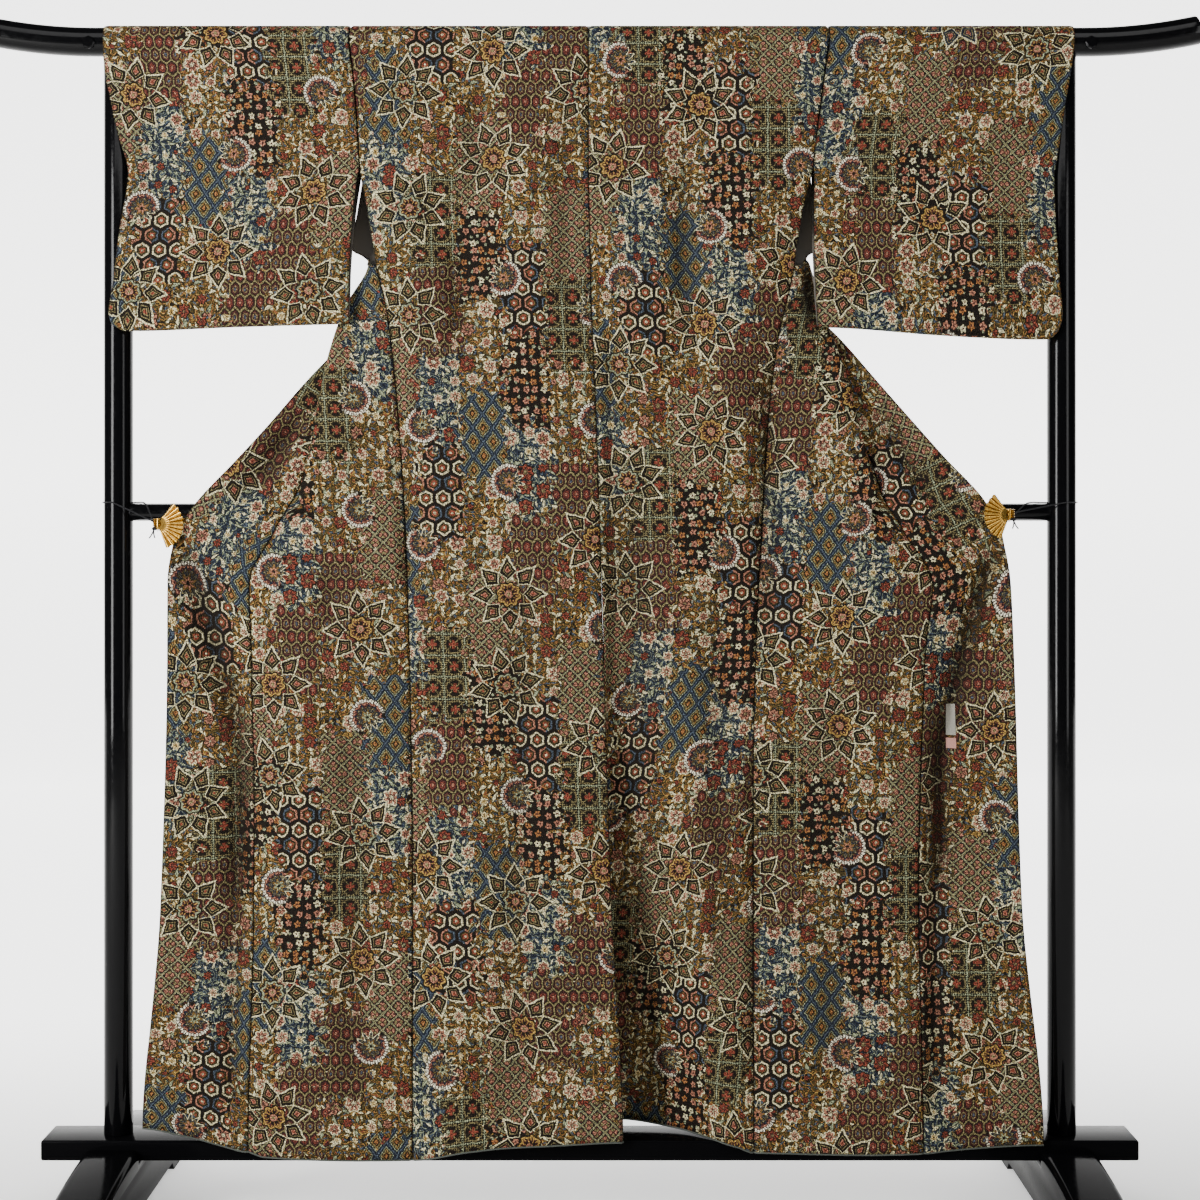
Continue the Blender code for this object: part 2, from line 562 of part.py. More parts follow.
def make_collar(side, cloth):
    """The folded collar band, turned back behind the front edge from the neck down to the clip."""
    heights = [COLLAR_LOW, *[level for level in LEVELS if COLLAR_LOW < level < COLLAR_HIGH], COLLAR_HIGH]
    outward = -1.0 if side == "left" else 1.0
    edges = []
    for height in heights:
        edge = front_plan(side, height)[-1]
        edges.append(Vector((edge.x, edge.y, height)))
    grid = []
    for index, edge in enumerate(edges):
        run = edges[min(index + 1, len(edges) - 1)] - edges[max(index - 1, 0)]
        reach = COLLAR_WIDTH * run.length / abs(run.z)
        curve = front_plan(side, edge.z)
        length = curve_length(curve)
        depths = [point_along(curve, length - reach * step / COLLAR_DEPTH_STEPS).y
                  for step in range(COLLAR_DEPTH_STEPS + 1)]
        line = []
        for c in range(COLLAR_COLUMNS + 1):
            share = 1.0 if edge.z >= COLLAR_FLAT_FROM else c / COLLAR_COLUMNS
            covered = int(COLLAR_DEPTH_STEPS * share) + 1
            y = max(depths[:covered]) + CLOTH_WALL + COLLAR_GAP
            line.append(Vector((edge.x - outward * (COLLAR_INSET + reach * c / COLLAR_COLUMNS), y, edge.z)))
        grid.append(line)
    directions = [[Vector((0.0, -1.0, 0.0)) for _ in line] for line in grid]
    wall(f"collar_{side}", grid, directions, cloth, thickness=COLLAR_WALL)


def make_neck_collar(cloth):
    """The stretch of the collar behind the neck: it starts at the back's edge and hangs over the rail."""
    reach = NECK_HALF_WIDTH - SEAM_GAP
    across = [-reach + 2 * reach * c / NECK_COLLAR_COLUMNS for c in range(NECK_COLLAR_COLUMNS + 1)]
    grid = []
    for height in (NECK_COLLAR_LOW, (COLLAR_HIGH + RAIL_HEIGHT) / 2):
        grid.append([Vector((x, CLOTH_OVER_RAIL, height)) for x in across])
    middle = [Vector((x, CLOTH_OVER_RAIL, RAIL_HEIGHT)) for x in across]
    grid.append(middle)
    grid += wrap_rows(middle, 1.0, 1, WRAP_STEPS)
    draw_back_row(grid, -1, -2)
    normals = [[Vector((0.0, p.y, max(p.z - RAIL_HEIGHT, 0.0))).normalized() for p in line] for line in grid]
    wall("collar_neck", grid, normals, cloth)


def make_sleeve(side, table, cloth):
    """A sleeve: one flat tube over the rail, sewn shut at its bottom and below the hand opening."""
    outward = -1.0 if side == "left" else 1.0
    cuff = outward * CUFF_BEHIND_POST
    grid = []
    for station in range(SLEEVE_STATIONS + 1):
        share = station / SLEEVE_STATIONS
        pinch = min(max(0.0, (share - PINCH_FROM) / PINCH_REACH), 1.0) ** 2
        bottom = getattr(row_at(SLEEVE_BOTTOM, share), side)
        near = []
        far = []
        for height in (bottom, *SLEEVE_LEVELS):
            row = row_at(table, height)
            held = 1.0 if height < SLEEVE_JOIN else 0.0
            outer_far = row.outer_x if held else cuff
            near_x = row.inner_x + (row.outer_x - row.inner_x) * share
            far_x = row.inner_x + (outer_far - row.inner_x) * share
            far_y = row.far_y + (row.pinch_y - row.far_y) * pinch
            near.append(Vector((near_x, row.near_y, height)))
            far.append(Vector((far_x, far_y, height)))
        arc = []
        for step in range(1, 2 * WRAP_STEPS):
            turn = math.radians(90.0 * step / WRAP_STEPS)
            x = near[-1].x + (far[-1].x - near[-1].x) * step / (2 * WRAP_STEPS)
            arc.append(Vector((x, -CLOTH_OVER_RAIL * math.cos(turn),
                               RAIL_HEIGHT + CLOTH_OVER_RAIL * math.sin(turn))))
        fold = (near[0] + far[0]) / 2 - Vector((0.0, 0.0, SLEEVE_BOTTOM_DROP))
        grid.append([*near, *arc, *reversed(far), fold])
    normals = grid_normals(grid, ring=True)
    middle = Vector((0.0, 0.0, 0.0))
    for point in grid[0]:
        middle += point / len(grid[0])
    low = len(grid[0]) - 1
    if normals[1][low].dot(grid[1][low] - middle) < 0:
        normals = [[n if p.z >= RAIL_HEIGHT else -n for n, p in zip(line, points)]
                   for line, points in zip(normals, grid)]
    draw = Vector((outward * SEAM_GAP / 2, 0.0, 0.0))
    grid[0] = [p + draw for p in grid[0]]
    wall(f"sleeve_{side}", grid, normals, cloth, ring=True)


def tube(name, points, radius, material, resolution):
    """A round bar along a path, with flat filled ends."""
    curve = bpy.data.curves.new(name, "CURVE")
    curve.dimensions = "3D"
    curve.bevel_depth = radius * MM
    curve.bevel_resolution = resolution
    curve.use_fill_caps = True
    spline = curve.splines.new("POLY")
    spline.points.add(len(points) - 1)
    for place, point in zip(spline.points, points):
        place.co = (*(Vector(point) * MM), 1.0)
    curve.materials.append(material)
    obj = bpy.data.objects.new(name, curve)
    bpy.context.scene.collection.objects.link(obj)
    return obj


def cylinder(bm, radius, length, segments, axis, centre):
    """A capped cylinder in a bmesh, turned onto an axis and moved to its centre."""
    turn = Vector((0.0, 0.0, 1.0)).rotation_difference(Vector(axis)).to_matrix().to_4x4()
    turn.translation = Vector(centre)
    bmesh.ops.create_cone(bm, cap_ends=True, segments=segments, radius1=radius, radius2=radius,
                          depth=length, matrix=turn)


def cut_round(obj, radius, axis, centre):
    """Cut a round seat in an object, a seat gap wider than the bar that lies in it."""
    bm = bmesh.new()
    cylinder(bm, radius + SEAT_GAP, SEAT_LENGTH, SEAT_SEGMENTS, axis, centre)
    cutter = add_object(f"{obj.name}_seat", bm, obj.data.materials[0])
    cutter.hide_render = True
    cutter.display_type = "WIRE"
    modifier = obj.modifiers.new("seat", "BOOLEAN")
    modifier.operation = "DIFFERENCE"
    modifier.solver = "EXACT"
    modifier.object = cutter


def make_rail(lacquer):
    """The top rail, straight between the posts and swept up a little at both ends."""
    swept = RAIL_HALF_LENGTH - RAIL_STRAIGHT_HALF
    right = []
    for step in range(RAIL_END_STEPS + 1):
        share = step / RAIL_END_STEPS
        rise = RAIL_END_RISE * share ** 2
        right.append(Vector((RAIL_STRAIGHT_HALF + swept * share, 0.0, RAIL_HEIGHT + rise)))
    left = [Vector((-p.x, p.y, p.z)) for p in reversed(right)]
    tube("rail", [*left, *right], RAIL_RADIUS, lacquer, RAIL_RESOLUTION)


def make_post(side, lacquer):
    outward = -1.0 if side == "left" else 1.0
    low = PLANK_TOP + SEAT_GAP
    bm = bmesh.new()
    middle = (outward * POST_X, 0, (RAIL_HEIGHT + low) / 2)
    cylinder(bm, POST_RADIUS, RAIL_HEIGHT - low, POST_SEGMENTS, (0, 0, 1), middle)
    post = add_object(f"post_{side}", bm, lacquer)
    cut_round(post, RAIL_RADIUS, (1, 0, 0), (outward * POST_X, 0, RAIL_HEIGHT))


def make_cross_bar(lacquer):
    bm = bmesh.new()
    cylinder(bm, BAR_RADIUS, 2 * POST_X, BAR_SEGMENTS, (1, 0, 0), (0, 0, BAR_HEIGHT))
    bar = add_object("cross_bar", bm, lacquer)
    for outward in (-1.0, 1.0):
        modifier_count = len(bar.modifiers)
        cut_round(bar, POST_RADIUS, (0, 0, 1), (outward * POST_X, 0, BAR_HEIGHT))
        bar.modifiers[modifier_count].name = f"seat_{modifier_count}"


def make_plank(lacquer):
    bm = bmesh.new()
    bmesh.ops.create_cube(bm, size=1.0)
    bmesh.ops.scale(bm, vec=(2 * PLANK_HALF_LENGTH, PLANK_DEPTH, PLANK_TOP - PLANK_BOTTOM), verts=bm.verts)
    bmesh.ops.translate(bm, vec=(0, 0, (PLANK_TOP + PLANK_BOTTOM) / 2), verts=bm.verts)
    upright = [e for e in bm.edges if abs(e.verts[0].co.z - e.verts[1].co.z) > 1.0]
    bmesh.ops.bevel(bm, geom=upright, offset=PLANK_ROUNDING, segments=3, profile=0.5,
                    affect="EDGES", material=-1)
    add_object("base_plank", bm, lacquer)


def foot_outline():
    """Side outline of a foot: two pads, a shallow arch, a crowned top and a notch for the plank."""
    arch_top = FOOT_ARCH_HALF - FOOT_ARCH_SLOPE
    outline = [(-FOOT_HALF_LENGTH, 0.0), (-FOOT_ARCH_HALF, 0.0), (-arch_top, FOOT_ARCH_HEIGHT),
               (arch_top, FOOT_ARCH_HEIGHT), (FOOT_ARCH_HALF, 0.0), (FOOT_HALF_LENGTH, 0.0)]
    notch = PLANK_DEPTH / 2 + SEAT_GAP
    crown = []
    ends = FOOT_HALF_LENGTH - FOOT_END_RADIUS
    end_top = FOOT_TOP - FOOT_TOP_CURVE * ends ** 2
    for step in range(1, FOOT_END_STEPS + 1):
        turn = math.radians(90.0 * step / FOOT_END_STEPS)
        crown.append((ends + FOOT_END_RADIUS * math.cos(turn),
                      end_top - FOOT_END_RADIUS * (1 - math.sin(turn))))
    for step in range(1, FOOT_CROWN_STEPS + 1):
        y = ends + (notch - ends) * step / FOOT_CROWN_STEPS
        crown.append((y, FOOT_TOP - FOOT_TOP_CURVE * y ** 2))
    crown.append((notch, PLANK_BOTTOM - SEAT_GAP))
    right = [(FOOT_HALF_LENGTH, end_top - FOOT_END_RADIUS), *crown]
    left = [(-y, z) for y, z in reversed(right)]
    return [*outline, *right, *left]


def make_foot(side, lacquer):
    outward = -1.0 if side == "left" else 1.0
    bm = bmesh.new()
    inner_face = outward * POST_X - FOOT_WIDTH / 2
    corners = [bm.verts.new((inner_face, y, z)) for y, z in foot_outline()]
    face = bm.faces.new(corners)
    grown = bmesh.ops.extrude_face_region(bm, geom=[face])
    verts = [g for g in grown["geom"] if isinstance(g, bmesh.types.BMVert)]
    bmesh.ops.translate(bm, vec=(FOOT_WIDTH, 0, 0), verts=verts)
    bmesh.ops.recalc_face_normals(bm, faces=bm.faces)
    long_edges = []
    for edge in bm.edges:
        a, b = (v.co for v in edge.verts)
        on_crown = min(a.z, b.z) > FOOT_CROWN_ABOVE and min(abs(a.y), abs(b.y)) > PLANK_DEPTH / 2
        if on_crown and abs(a.x - b.x) < 1.0:
            long_edges.append(edge)
    bmesh.ops.bevel(bm, geom=long_edges, offset=FOOT_EDGE_ROUNDING, segments=2, profile=0.5,
                    affect="EDGES", material=-1)
    add_object(f"foot_{side}", bm, lacquer)


def make_fan(side, gilt):
    """The pleated fan plate of a clip, spread from a hub beside the front edge."""
    outward = -1.0 if side == "left" else 1.0
    pivot = Vector((CLIP_PIVOT_X[side], FAN_BACK, CLIP_HEIGHT[side]))
    spokes = 2 * FAN_PLEATS
    radii = (FAN_HUB_RADIUS, FAN_RADIUS * FAN_MIDDLE_SHARE, FAN_RADIUS)
    bm = bmesh.new()
    layers = []
    for back in (False, True):
        layer = []
        for radius in radii:
            line = []
            for spoke in range(spokes + 1):
                angle = math.radians(FAN_DOWN_ANGLE + (FAN_UP_ANGLE - FAN_DOWN_ANGLE) * spoke / spokes)
                lift = FAN_PLEAT_DEPTH if spoke % 2 and radius > FAN_HUB_RADIUS else 0.0
                y = 0.0 if back else -FAN_THICKNESS - lift
                line.append(bm.verts.new(pivot + Vector((-outward * radius * math.cos(angle), y,
                                                         radius * math.sin(angle)))))
            layer.append(line)
        layers.append(layer)
    for layer in layers:
        for r in range(len(radii) - 1):
            for s in range(spokes):
                bm.faces.new((layer[r][s], layer[r][s + 1], layer[r + 1][s + 1], layer[r + 1][s]))
    front, rear = layers
    for r in (0, len(radii) - 1):
        for s in range(spokes):
            bm.faces.new((front[r][s], front[r][s + 1], rear[r][s + 1], rear[r][s]))
    for s in (0, spokes):
        for r in range(len(radii) - 1):
            bm.faces.new((front[r][s], front[r + 1][s], rear[r + 1][s], rear[r][s]))
    add_object(f"clip_fan_{side}", bm, gilt)


def make_jaw(side, gilt):
    """The jaw behind the cloth, bent round at its outer end into the spring barrel."""
    outward = -1.0 if side == "left" else 1.0
    height = CLIP_HEIGHT[side]
    pivot_x = CLIP_PIVOT_X[side]
    jaw_back = JAW_FRONT + JAW_THICKNESS
    outline = [(-JAW_LENGTH, JAW_FRONT), (-JAW_LENGTH, jaw_back), (BARREL_RADIUS, jaw_back)]
    for step in range(JAW_ARC_STEPS + 1):
        turn = math.radians(-180.0 * step / JAW_ARC_STEPS)
        outline.append((BARREL_RADIUS * math.cos(turn), BARREL_Y + BARREL_RADIUS * math.sin(turn)))
    outline.append((-BARREL_RADIUS, JAW_FRONT))
    bm = bmesh.new()
    verts = [bm.verts.new((pivot_x + outward * x, y, height - JAW_HEIGHT / 2)) for x, y in outline]
    face = bm.faces.new(verts)
    grown = bmesh.ops.extrude_face_region(bm, geom=[face])
    moved = [g for g in grown["geom"] if isinstance(g, bmesh.types.BMVert)]
    bmesh.ops.translate(bm, vec=(0, 0, JAW_HEIGHT), verts=moved)
    add_object(f"clip_jaw_{side}", bm, gilt)


def make_clip_cord(side, cord):
    """The cord from the clip's barrel round the post, just above the cross bar, and back to the barrel."""
    outward = -1.0 if side == "left" else 1.0
    start = Vector((CLIP_PIVOT_X[side] + outward * (BARREL_RADIUS + CORD_RADIUS + SEAT_GAP),
                    BARREL_Y, CLIP_HEIGHT[side] + CORD_ENDS_APART / 2))
    around = POST_RADIUS + CORD_RADIUS + SEAT_GAP
    above_bar = BAR_HEIGHT + BAR_RADIUS + CORD_RADIUS + SEAT_GAP
    inward_x = outward * POST_X - start.x
    reach = math.hypot(inward_x, start.y)
    heading = math.atan2(start.y, outward * inward_x)
    tangent = math.acos(around / reach)
    ring = []
    for step in range(CORD_TURNS + 1):
        turn = heading - tangent - (2 * math.pi - 2 * tangent) * step / CORD_TURNS
        x = outward * (POST_X - around * math.cos(turn))
        ring.append(Vector((x, around * math.sin(turn), above_bar)))
    past_bar = -(BAR_RADIUS + CORD_RADIUS + SEAT_GAP)
    over_share = (past_bar - ring[-1].y) / (start.y - ring[-1].y)
    end = start - Vector((0.0, 0.0, CORD_ENDS_APART))
    over_bar = ring[-1].lerp(end, over_share)
    over_bar.z = above_bar
    path = [start, start.lerp(ring[0], 0.5), *ring, ring[-1].lerp(over_bar, 0.5), over_bar,
            over_bar.lerp(end, 0.5), end]
    tube(f"clip_cord_{side}", path, CORD_RADIUS, cord, CORD_RESOLUTION)


def clear_scene():
    for obj in list(bpy.data.objects):
        bpy.data.objects.remove(obj, do_unlink=True)


clear_scene()
patterned_silk = finish("patterned_silk", (0.12, 0.075, 0.035), 0.75)
black_lacquer = finish("black_lacquer", (0.006, 0.006, 0.007), 0.12)
gilt_metal = finish("gilt_metal", (0.75, 0.5, 0.13), 0.3, 1.0)
black_cord = finish("black_cord", (0.01, 0.01, 0.012), 0.7)

make_body_panels(patterned_silk)
make_neck_collar(patterned_silk)
make_rail(black_lacquer)
make_cross_bar(black_lacquer)
make_plank(black_lacquer)
for part_side, sleeve_table in (("left", SLEEVE_LEFT), ("right", SLEEVE_RIGHT)):
    make_collar(part_side, patterned_silk)
    make_sleeve(part_side, sleeve_table, patterned_silk)
    make_post(part_side, black_lacquer)
    make_foot(part_side, black_lacquer)
    make_fan(part_side, gilt_metal)
    make_jaw(part_side, gilt_metal)
    make_clip_cord(part_side, black_cord)
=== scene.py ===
import math
from types import SimpleNamespace

import bmesh
import bpy
from mathutils import Matrix, Vector, noise


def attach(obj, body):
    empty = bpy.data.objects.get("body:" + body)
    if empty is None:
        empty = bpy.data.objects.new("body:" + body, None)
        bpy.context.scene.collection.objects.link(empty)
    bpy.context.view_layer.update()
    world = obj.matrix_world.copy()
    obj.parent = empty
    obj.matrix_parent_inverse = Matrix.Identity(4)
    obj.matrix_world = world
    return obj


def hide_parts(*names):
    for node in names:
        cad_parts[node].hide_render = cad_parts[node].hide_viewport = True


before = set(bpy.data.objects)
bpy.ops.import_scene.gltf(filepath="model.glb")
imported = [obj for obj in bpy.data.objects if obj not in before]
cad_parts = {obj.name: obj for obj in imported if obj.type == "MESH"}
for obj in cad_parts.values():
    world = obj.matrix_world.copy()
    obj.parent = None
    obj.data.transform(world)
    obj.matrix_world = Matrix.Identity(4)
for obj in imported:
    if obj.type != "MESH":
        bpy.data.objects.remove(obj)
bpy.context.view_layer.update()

# The studio: a pale floor that sweeps up into a pale wall far behind the stand, one level camera as far
# off as the photograph's, two tall soft lights in front at the sides and a wide one above.
CAMERA_PLACE = (0.014, -2.8, 0.939)
CAMERA_LENS_MM = 60.0
CAMERA_SENSOR_MM = 36.0
CAMERA_SHIFT_Y = -0.05
FLOOR_WIDTH = 18.0
FLOOR_FRONT = -6.0
WALL_AT = 6.0
WALL_HEIGHT = 7.0
SWEEP_RADIUS = 1.2
SWEEP_STEPS = 12
PAPER_COLOUR = (0.86, 0.855, 0.835)
PAPER_ROUGHNESS = 0.9
GLOW_FROM = -0.4
GLOW_FULL = 1.3
WALL_GLOW = 2.9
AIR_COLOUR = (0.95, 0.97, 1.0, 1.0)
AIR_STRENGTH = 0.05


def plain_finish(name, colour, roughness):
    material = bpy.data.materials.new(name)
    material.use_nodes = True
    shader = material.node_tree.nodes["Principled BSDF"]
    shader.inputs["Base Color"].default_value = (*colour, 1.0)
    shader.inputs["Roughness"].default_value = roughness
    return material


def shader_node(tree, kind, **settings):
    """A node of one kind in a material's tree, with its inputs set: From_Min sets the input From Min."""
    node = tree.nodes.new(f"ShaderNode{kind}")
    for name, value in settings.items():
        node.inputs[name.replace("_", " ")].default_value = value
    return node


def object_from(bm, name, materials):
    mesh = bpy.data.meshes.new(name)
    bm.to_mesh(mesh)
    bm.free()
    for material in materials:
        mesh.materials.append(material)
    obj = bpy.data.objects.new(name, mesh)
    bpy.context.scene.collection.objects.link(obj)
    return obj


def make_sweep():
    bm = bmesh.new()
    side = [(FLOOR_FRONT, 0.0), (WALL_AT - SWEEP_RADIUS, 0.0)]
    for step in range(1, SWEEP_STEPS + 1):
        turn = math.radians(90.0 * step / SWEEP_STEPS)
        back = WALL_AT - SWEEP_RADIUS + SWEEP_RADIUS * math.sin(turn)
        side.append((back, SWEEP_RADIUS * (1 - math.cos(turn))))
    side.append((WALL_AT, WALL_HEIGHT))
    verts = [bm.verts.new((-FLOOR_WIDTH / 2, y, z)) for y, z in side]
    edges = [bm.edges.new(pair) for pair in zip(verts, verts[1:])]
    grown = bmesh.ops.extrude_edge_only(bm, edges=edges)
    moved = [g for g in grown["geom"] if isinstance(g, bmesh.types.BMVert)]
    bmesh.ops.translate(bm, vec=(FLOOR_WIDTH, 0.0, 0.0), verts=moved)
    bmesh.ops.recalc_face_normals(bm, faces=bm.faces)
    for face in bm.faces:
        face.smooth = True
    paper = plain_finish("studio_paper", PAPER_COLOUR, PAPER_ROUGHNESS)
    tree = paper.node_tree
    shader = tree.nodes["Principled BSDF"]
    shader.inputs["Emission Color"].default_value = (1.0, 1.0, 1.0, 1.0)
    place = shader_node(tree, "TexCoord")
    axes = shader_node(tree, "SeparateXYZ")
    glow = shader_node(tree, "MapRange", From_Min=GLOW_FROM, From_Max=GLOW_FULL, To_Max=WALL_GLOW)
    glow.interpolation_type = "SMOOTHSTEP"
    tree.links.new(place.outputs["Object"], axes.inputs[0])
    tree.links.new(axes.outputs["Y"], glow.inputs["Value"])
    tree.links.new(glow.outputs["Result"], shader.inputs["Emission Strength"])
    object_from(bm, "floor_sweep", [paper])


def soft_light(name, place, aim, width, height, watts):
    data = bpy.data.lights.new(name, "AREA")
    data.shape = "RECTANGLE"
    data.size = width
    data.size_y = height
    data.energy = watts
    lamp = bpy.data.objects.new(name, data)
    lamp.location = place
    lamp.rotation_euler = (Vector(aim) - Vector(place)).to_track_quat("-Z", "Y").to_euler()
    bpy.context.scene.collection.objects.link(lamp)


make_sweep()
soft_light("tall_light_left", (-2.3, -2.2, 1.5), aim=(0.0, 0.0, 0.9), width=0.8, height=2.4, watts=180.0)
soft_light("tall_light_right", (2.3, -2.2, 1.5), aim=(0.0, 0.0, 0.9), width=0.8, height=2.4, watts=34.0)
soft_light("wide_light_above", (0.0, -1.9, 3.3), aim=(0.0, 0.1, 0.8), width=3.0, height=1.6, watts=60.0)

world = bpy.data.worlds.new("studio_air")
world.use_nodes = True
world.node_tree.nodes["Background"].inputs["Color"].default_value = AIR_COLOUR
world.node_tree.nodes["Background"].inputs["Strength"].default_value = AIR_STRENGTH
bpy.context.scene.world = world

camera_data = bpy.data.cameras.new("camera")
camera_data.lens = CAMERA_LENS_MM
camera_data.sensor_width = CAMERA_SENSOR_MM
camera_data.shift_y = CAMERA_SHIFT_Y
camera = bpy.data.objects.new("camera", camera_data)
camera.location = CAMERA_PLACE
camera.rotation_euler = (math.radians(90.0), 0.0, 0.0)
bpy.context.scene.collection.objects.link(camera)
bpy.context.scene.camera = camera

# The stand's round members: top rail, posts and cross bar, turned from wood and finished in black lacquer.
# The rail is straight between the posts and swept up at both ends; the posts stand in the plank.
MM = 0.001
RAIL_RADIUS = 20.0
RAIL_HEIGHT = 1636.0
RAIL_HALF_LENGTH = 851.0
RAIL_STRAIGHT_HALF = 690.0
RAIL_END_RISE = 17.0
RAIL_END_STEPS = 14
POST_RADIUS = 20.0
POST_X = 660.0
POST_MIDDLE = 700.0
POST_INTO_RAIL = 6.0
BAR_RADIUS = 12.3
BAR_HEIGHT = 978.0
BAR_INTO_POST = 3.0
BAR_SIDES = 32
PLANK_TOP = 109.0
SEAT_GAP = 0.3
ROUND_SIDES = 48
SHARP_PAST = 50.0
LACQUER_BLACK = (0.002, 0.002, 0.0023)
LACQUER_IOR = 1.23


def add_relief(material, height, strength, distance):
    """Let a texture stand out a little from a material's surface."""
    tree = material.node_tree
    bump = shader_node(tree, "Bump", Strength=strength, Distance=distance)
    tree.links.new(height, bump.inputs["Height"])
    tree.links.new(bump.outputs["Normal"], tree.nodes["Principled BSDF"].inputs["Normal"])


def lacquer_finish(name, ior):
    """Black lacquer: deep gloss with the faintest waviness and a little dust."""
    material = plain_finish(name, LACQUER_BLACK, roughness=0.1)
    tree = material.node_tree
    shader = tree.nodes["Principled BSDF"]
    shader.inputs["IOR"].default_value = ior
    place = shader_node(tree, "TexCoord")
    dust = shader_node(tree, "TexNoise", Scale=160.0, Detail=3.0)
    dust_range = shader_node(tree, "MapRange", From_Min=0.35, From_Max=0.75, To_Min=0.08, To_Max=0.2)
    waves = shader_node(tree, "TexNoise", Scale=14.0, Detail=1.0)
    tree.links.new(place.outputs["Object"], dust.inputs["Vector"])
    tree.links.new(place.outputs["Object"], waves.inputs["Vector"])
    tree.links.new(dust.outputs["Fac"], dust_range.inputs["Value"])
    tree.links.new(dust_range.outputs["Result"], shader.inputs["Roughness"])
    add_relief(material, waves.outputs["Fac"], strength=0.12, distance=0.002)
    return material


def ring_frame(place, along):
    """A matrix that puts a flat ring at a place, facing along a direction."""
    turn = Vector((0.0, 0.0, 1.0)).rotation_difference(along.normalized()).to_matrix().to_4x4()
    turn.translation = place * MM
    return turn


def sweep_round(name, stations, sides, material):
    """A round bar through stations of (place, radius): rings bridged one to the next, with closed ends."""
    bm = bmesh.new()
    rings = []
    last = len(stations) - 1
    for index, (place, radius) in enumerate(stations):
        along = stations[min(index + 1, last)][0] - stations[max(index - 1, 0)][0]
        made = bmesh.ops.create_circle(bm, cap_ends=index in (0, last), segments=sides, radius=radius * MM,
                                       matrix=ring_frame(place, along))
        rings.append(made["verts"])
    for low, high in zip(rings, rings[1:]):
        low_edges = {e for v in low for e in v.link_edges if e.other_vert(v) in low}
        high_edges = {e for v in high for e in v.link_edges if e.other_vert(v) in high}
        bmesh.ops.bridge_loops(bm, edges=list(low_edges | high_edges))
    bmesh.ops.recalc_face_normals(bm, faces=bm.faces)
    for face in bm.faces:
        face.smooth = len(face.verts) == 4
    obj = object_from(bm, name, [material])
    obj.data.set_sharp_from_angle(angle=math.radians(SHARP_PAST))
    return obj


def rounded_run(points, radius, rounding=2.5, steps=4):
    """Stations of a bar through points, with its two end edges rounded over."""
    first = (points[1] - points[0]).normalized()
    final = (points[-1] - points[-2]).normalized()
    head = []
    tail = []
    for step in range(steps + 1):
        turn = math.radians(90.0 * step / steps)
        ring_radius = radius - rounding * (1 - math.sin(turn))
        head.append((points[0] + first * rounding * (1 - math.cos(turn)), ring_radius))
        tail.append((points[-1] - final * rounding * (1 - math.cos(turn)), ring_radius))
    return [*head, *[(p, radius) for p in points[1:-1]], *reversed(tail)]


def dress(piece, node=""):
    """Let a finished piece ride on the stand, and in place of a node where it has one."""
    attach(piece, "root")
    if node:
        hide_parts(node)


def make_top_rail():
    right = []
    swept = RAIL_HALF_LENGTH - RAIL_STRAIGHT_HALF
    for step in range(RAIL_END_STEPS + 1):
        share = step / RAIL_END_STEPS
        height = RAIL_HEIGHT + RAIL_END_RISE * share ** 2
        right.append(Vector((RAIL_STRAIGHT_HALF + swept * share, 0.0, height)))
    left = [Vector((-p.x, p.y, p.z)) for p in reversed(right)]
    piece = sweep_round("top_rail", rounded_run([*left, *right], RAIL_RADIUS), ROUND_SIDES, lacquer)
    dress(piece, "rail")


def make_post(side, sign):
    heights = (PLANK_TOP + SEAT_GAP, POST_MIDDLE, RAIL_HEIGHT - POST_INTO_RAIL)
    points = [Vector((sign * POST_X, 0.0, height)) for height in heights]
    run = rounded_run(points, POST_RADIUS, rounding=1.0, steps=2)
    piece = sweep_round(f"stand_post_{side}", run, ROUND_SIDES, lacquer)
    dress(piece, f"post_{side}")


def make_cross_bar():
    reach = POST_X - POST_RADIUS + BAR_INTO_POST
    points = [Vector((x, 0.0, BAR_HEIGHT)) for x in (-reach, 0.0, reach)]
    run = rounded_run(points, BAR_RADIUS, rounding=0.5, steps=1)
    piece = sweep_round("stand_cross_bar", run, BAR_SIDES, lacquer)
    dress(piece, "cross_bar")


lacquer = lacquer_finish("black_lacquer", LACQUER_IOR)
make_top_rail()
make_post("left", -1.0)
make_post("right", 1.0)
make_cross_bar()

# The base: a lacquered plank between the posts, let into two crowned feet that run front to back. Each foot
# is cut from thick board, with its long top edges rounded over and a shallow arch under it.
PLANK_HALF_LENGTH = 759.0
PLANK_DEPTH = 75.0
PLANK_BOTTOM = 81.0
PLANK_EDGE = 3.0
FOOT_HALF_LENGTH = 250.0
FOOT_WIDTH = 77.0
FOOT_TOP = 96.6
FOOT_TOP_CURVE = 0.0004
FOOT_ARCH_HALF = 185.0
FOOT_ARCH_SLOPE = 12.0
FOOT_ARCH_HEIGHT = 13.0
FOOT_END_RADIUS = 25.0
FOOT_EDGE = 9.0
CROWN_STEPS = 12
END_STEPS = 8
BASE_LACQUER_IOR = 1.06


def smooth_piece(piece, sharp_past):
    """Smooth a piece's faces, with its edges left sharp past an angle."""
    piece.data.shade_smooth()
    piece.data.set_sharp_from_angle(angle=math.radians(sharp_past))


def round_edges(bm, edges, radius, segments):
    bmesh.ops.bevel(bm, geom=edges, offset=radius * MM, segments=segments, profile=0.5, affect="EDGES",
                    material=-1)


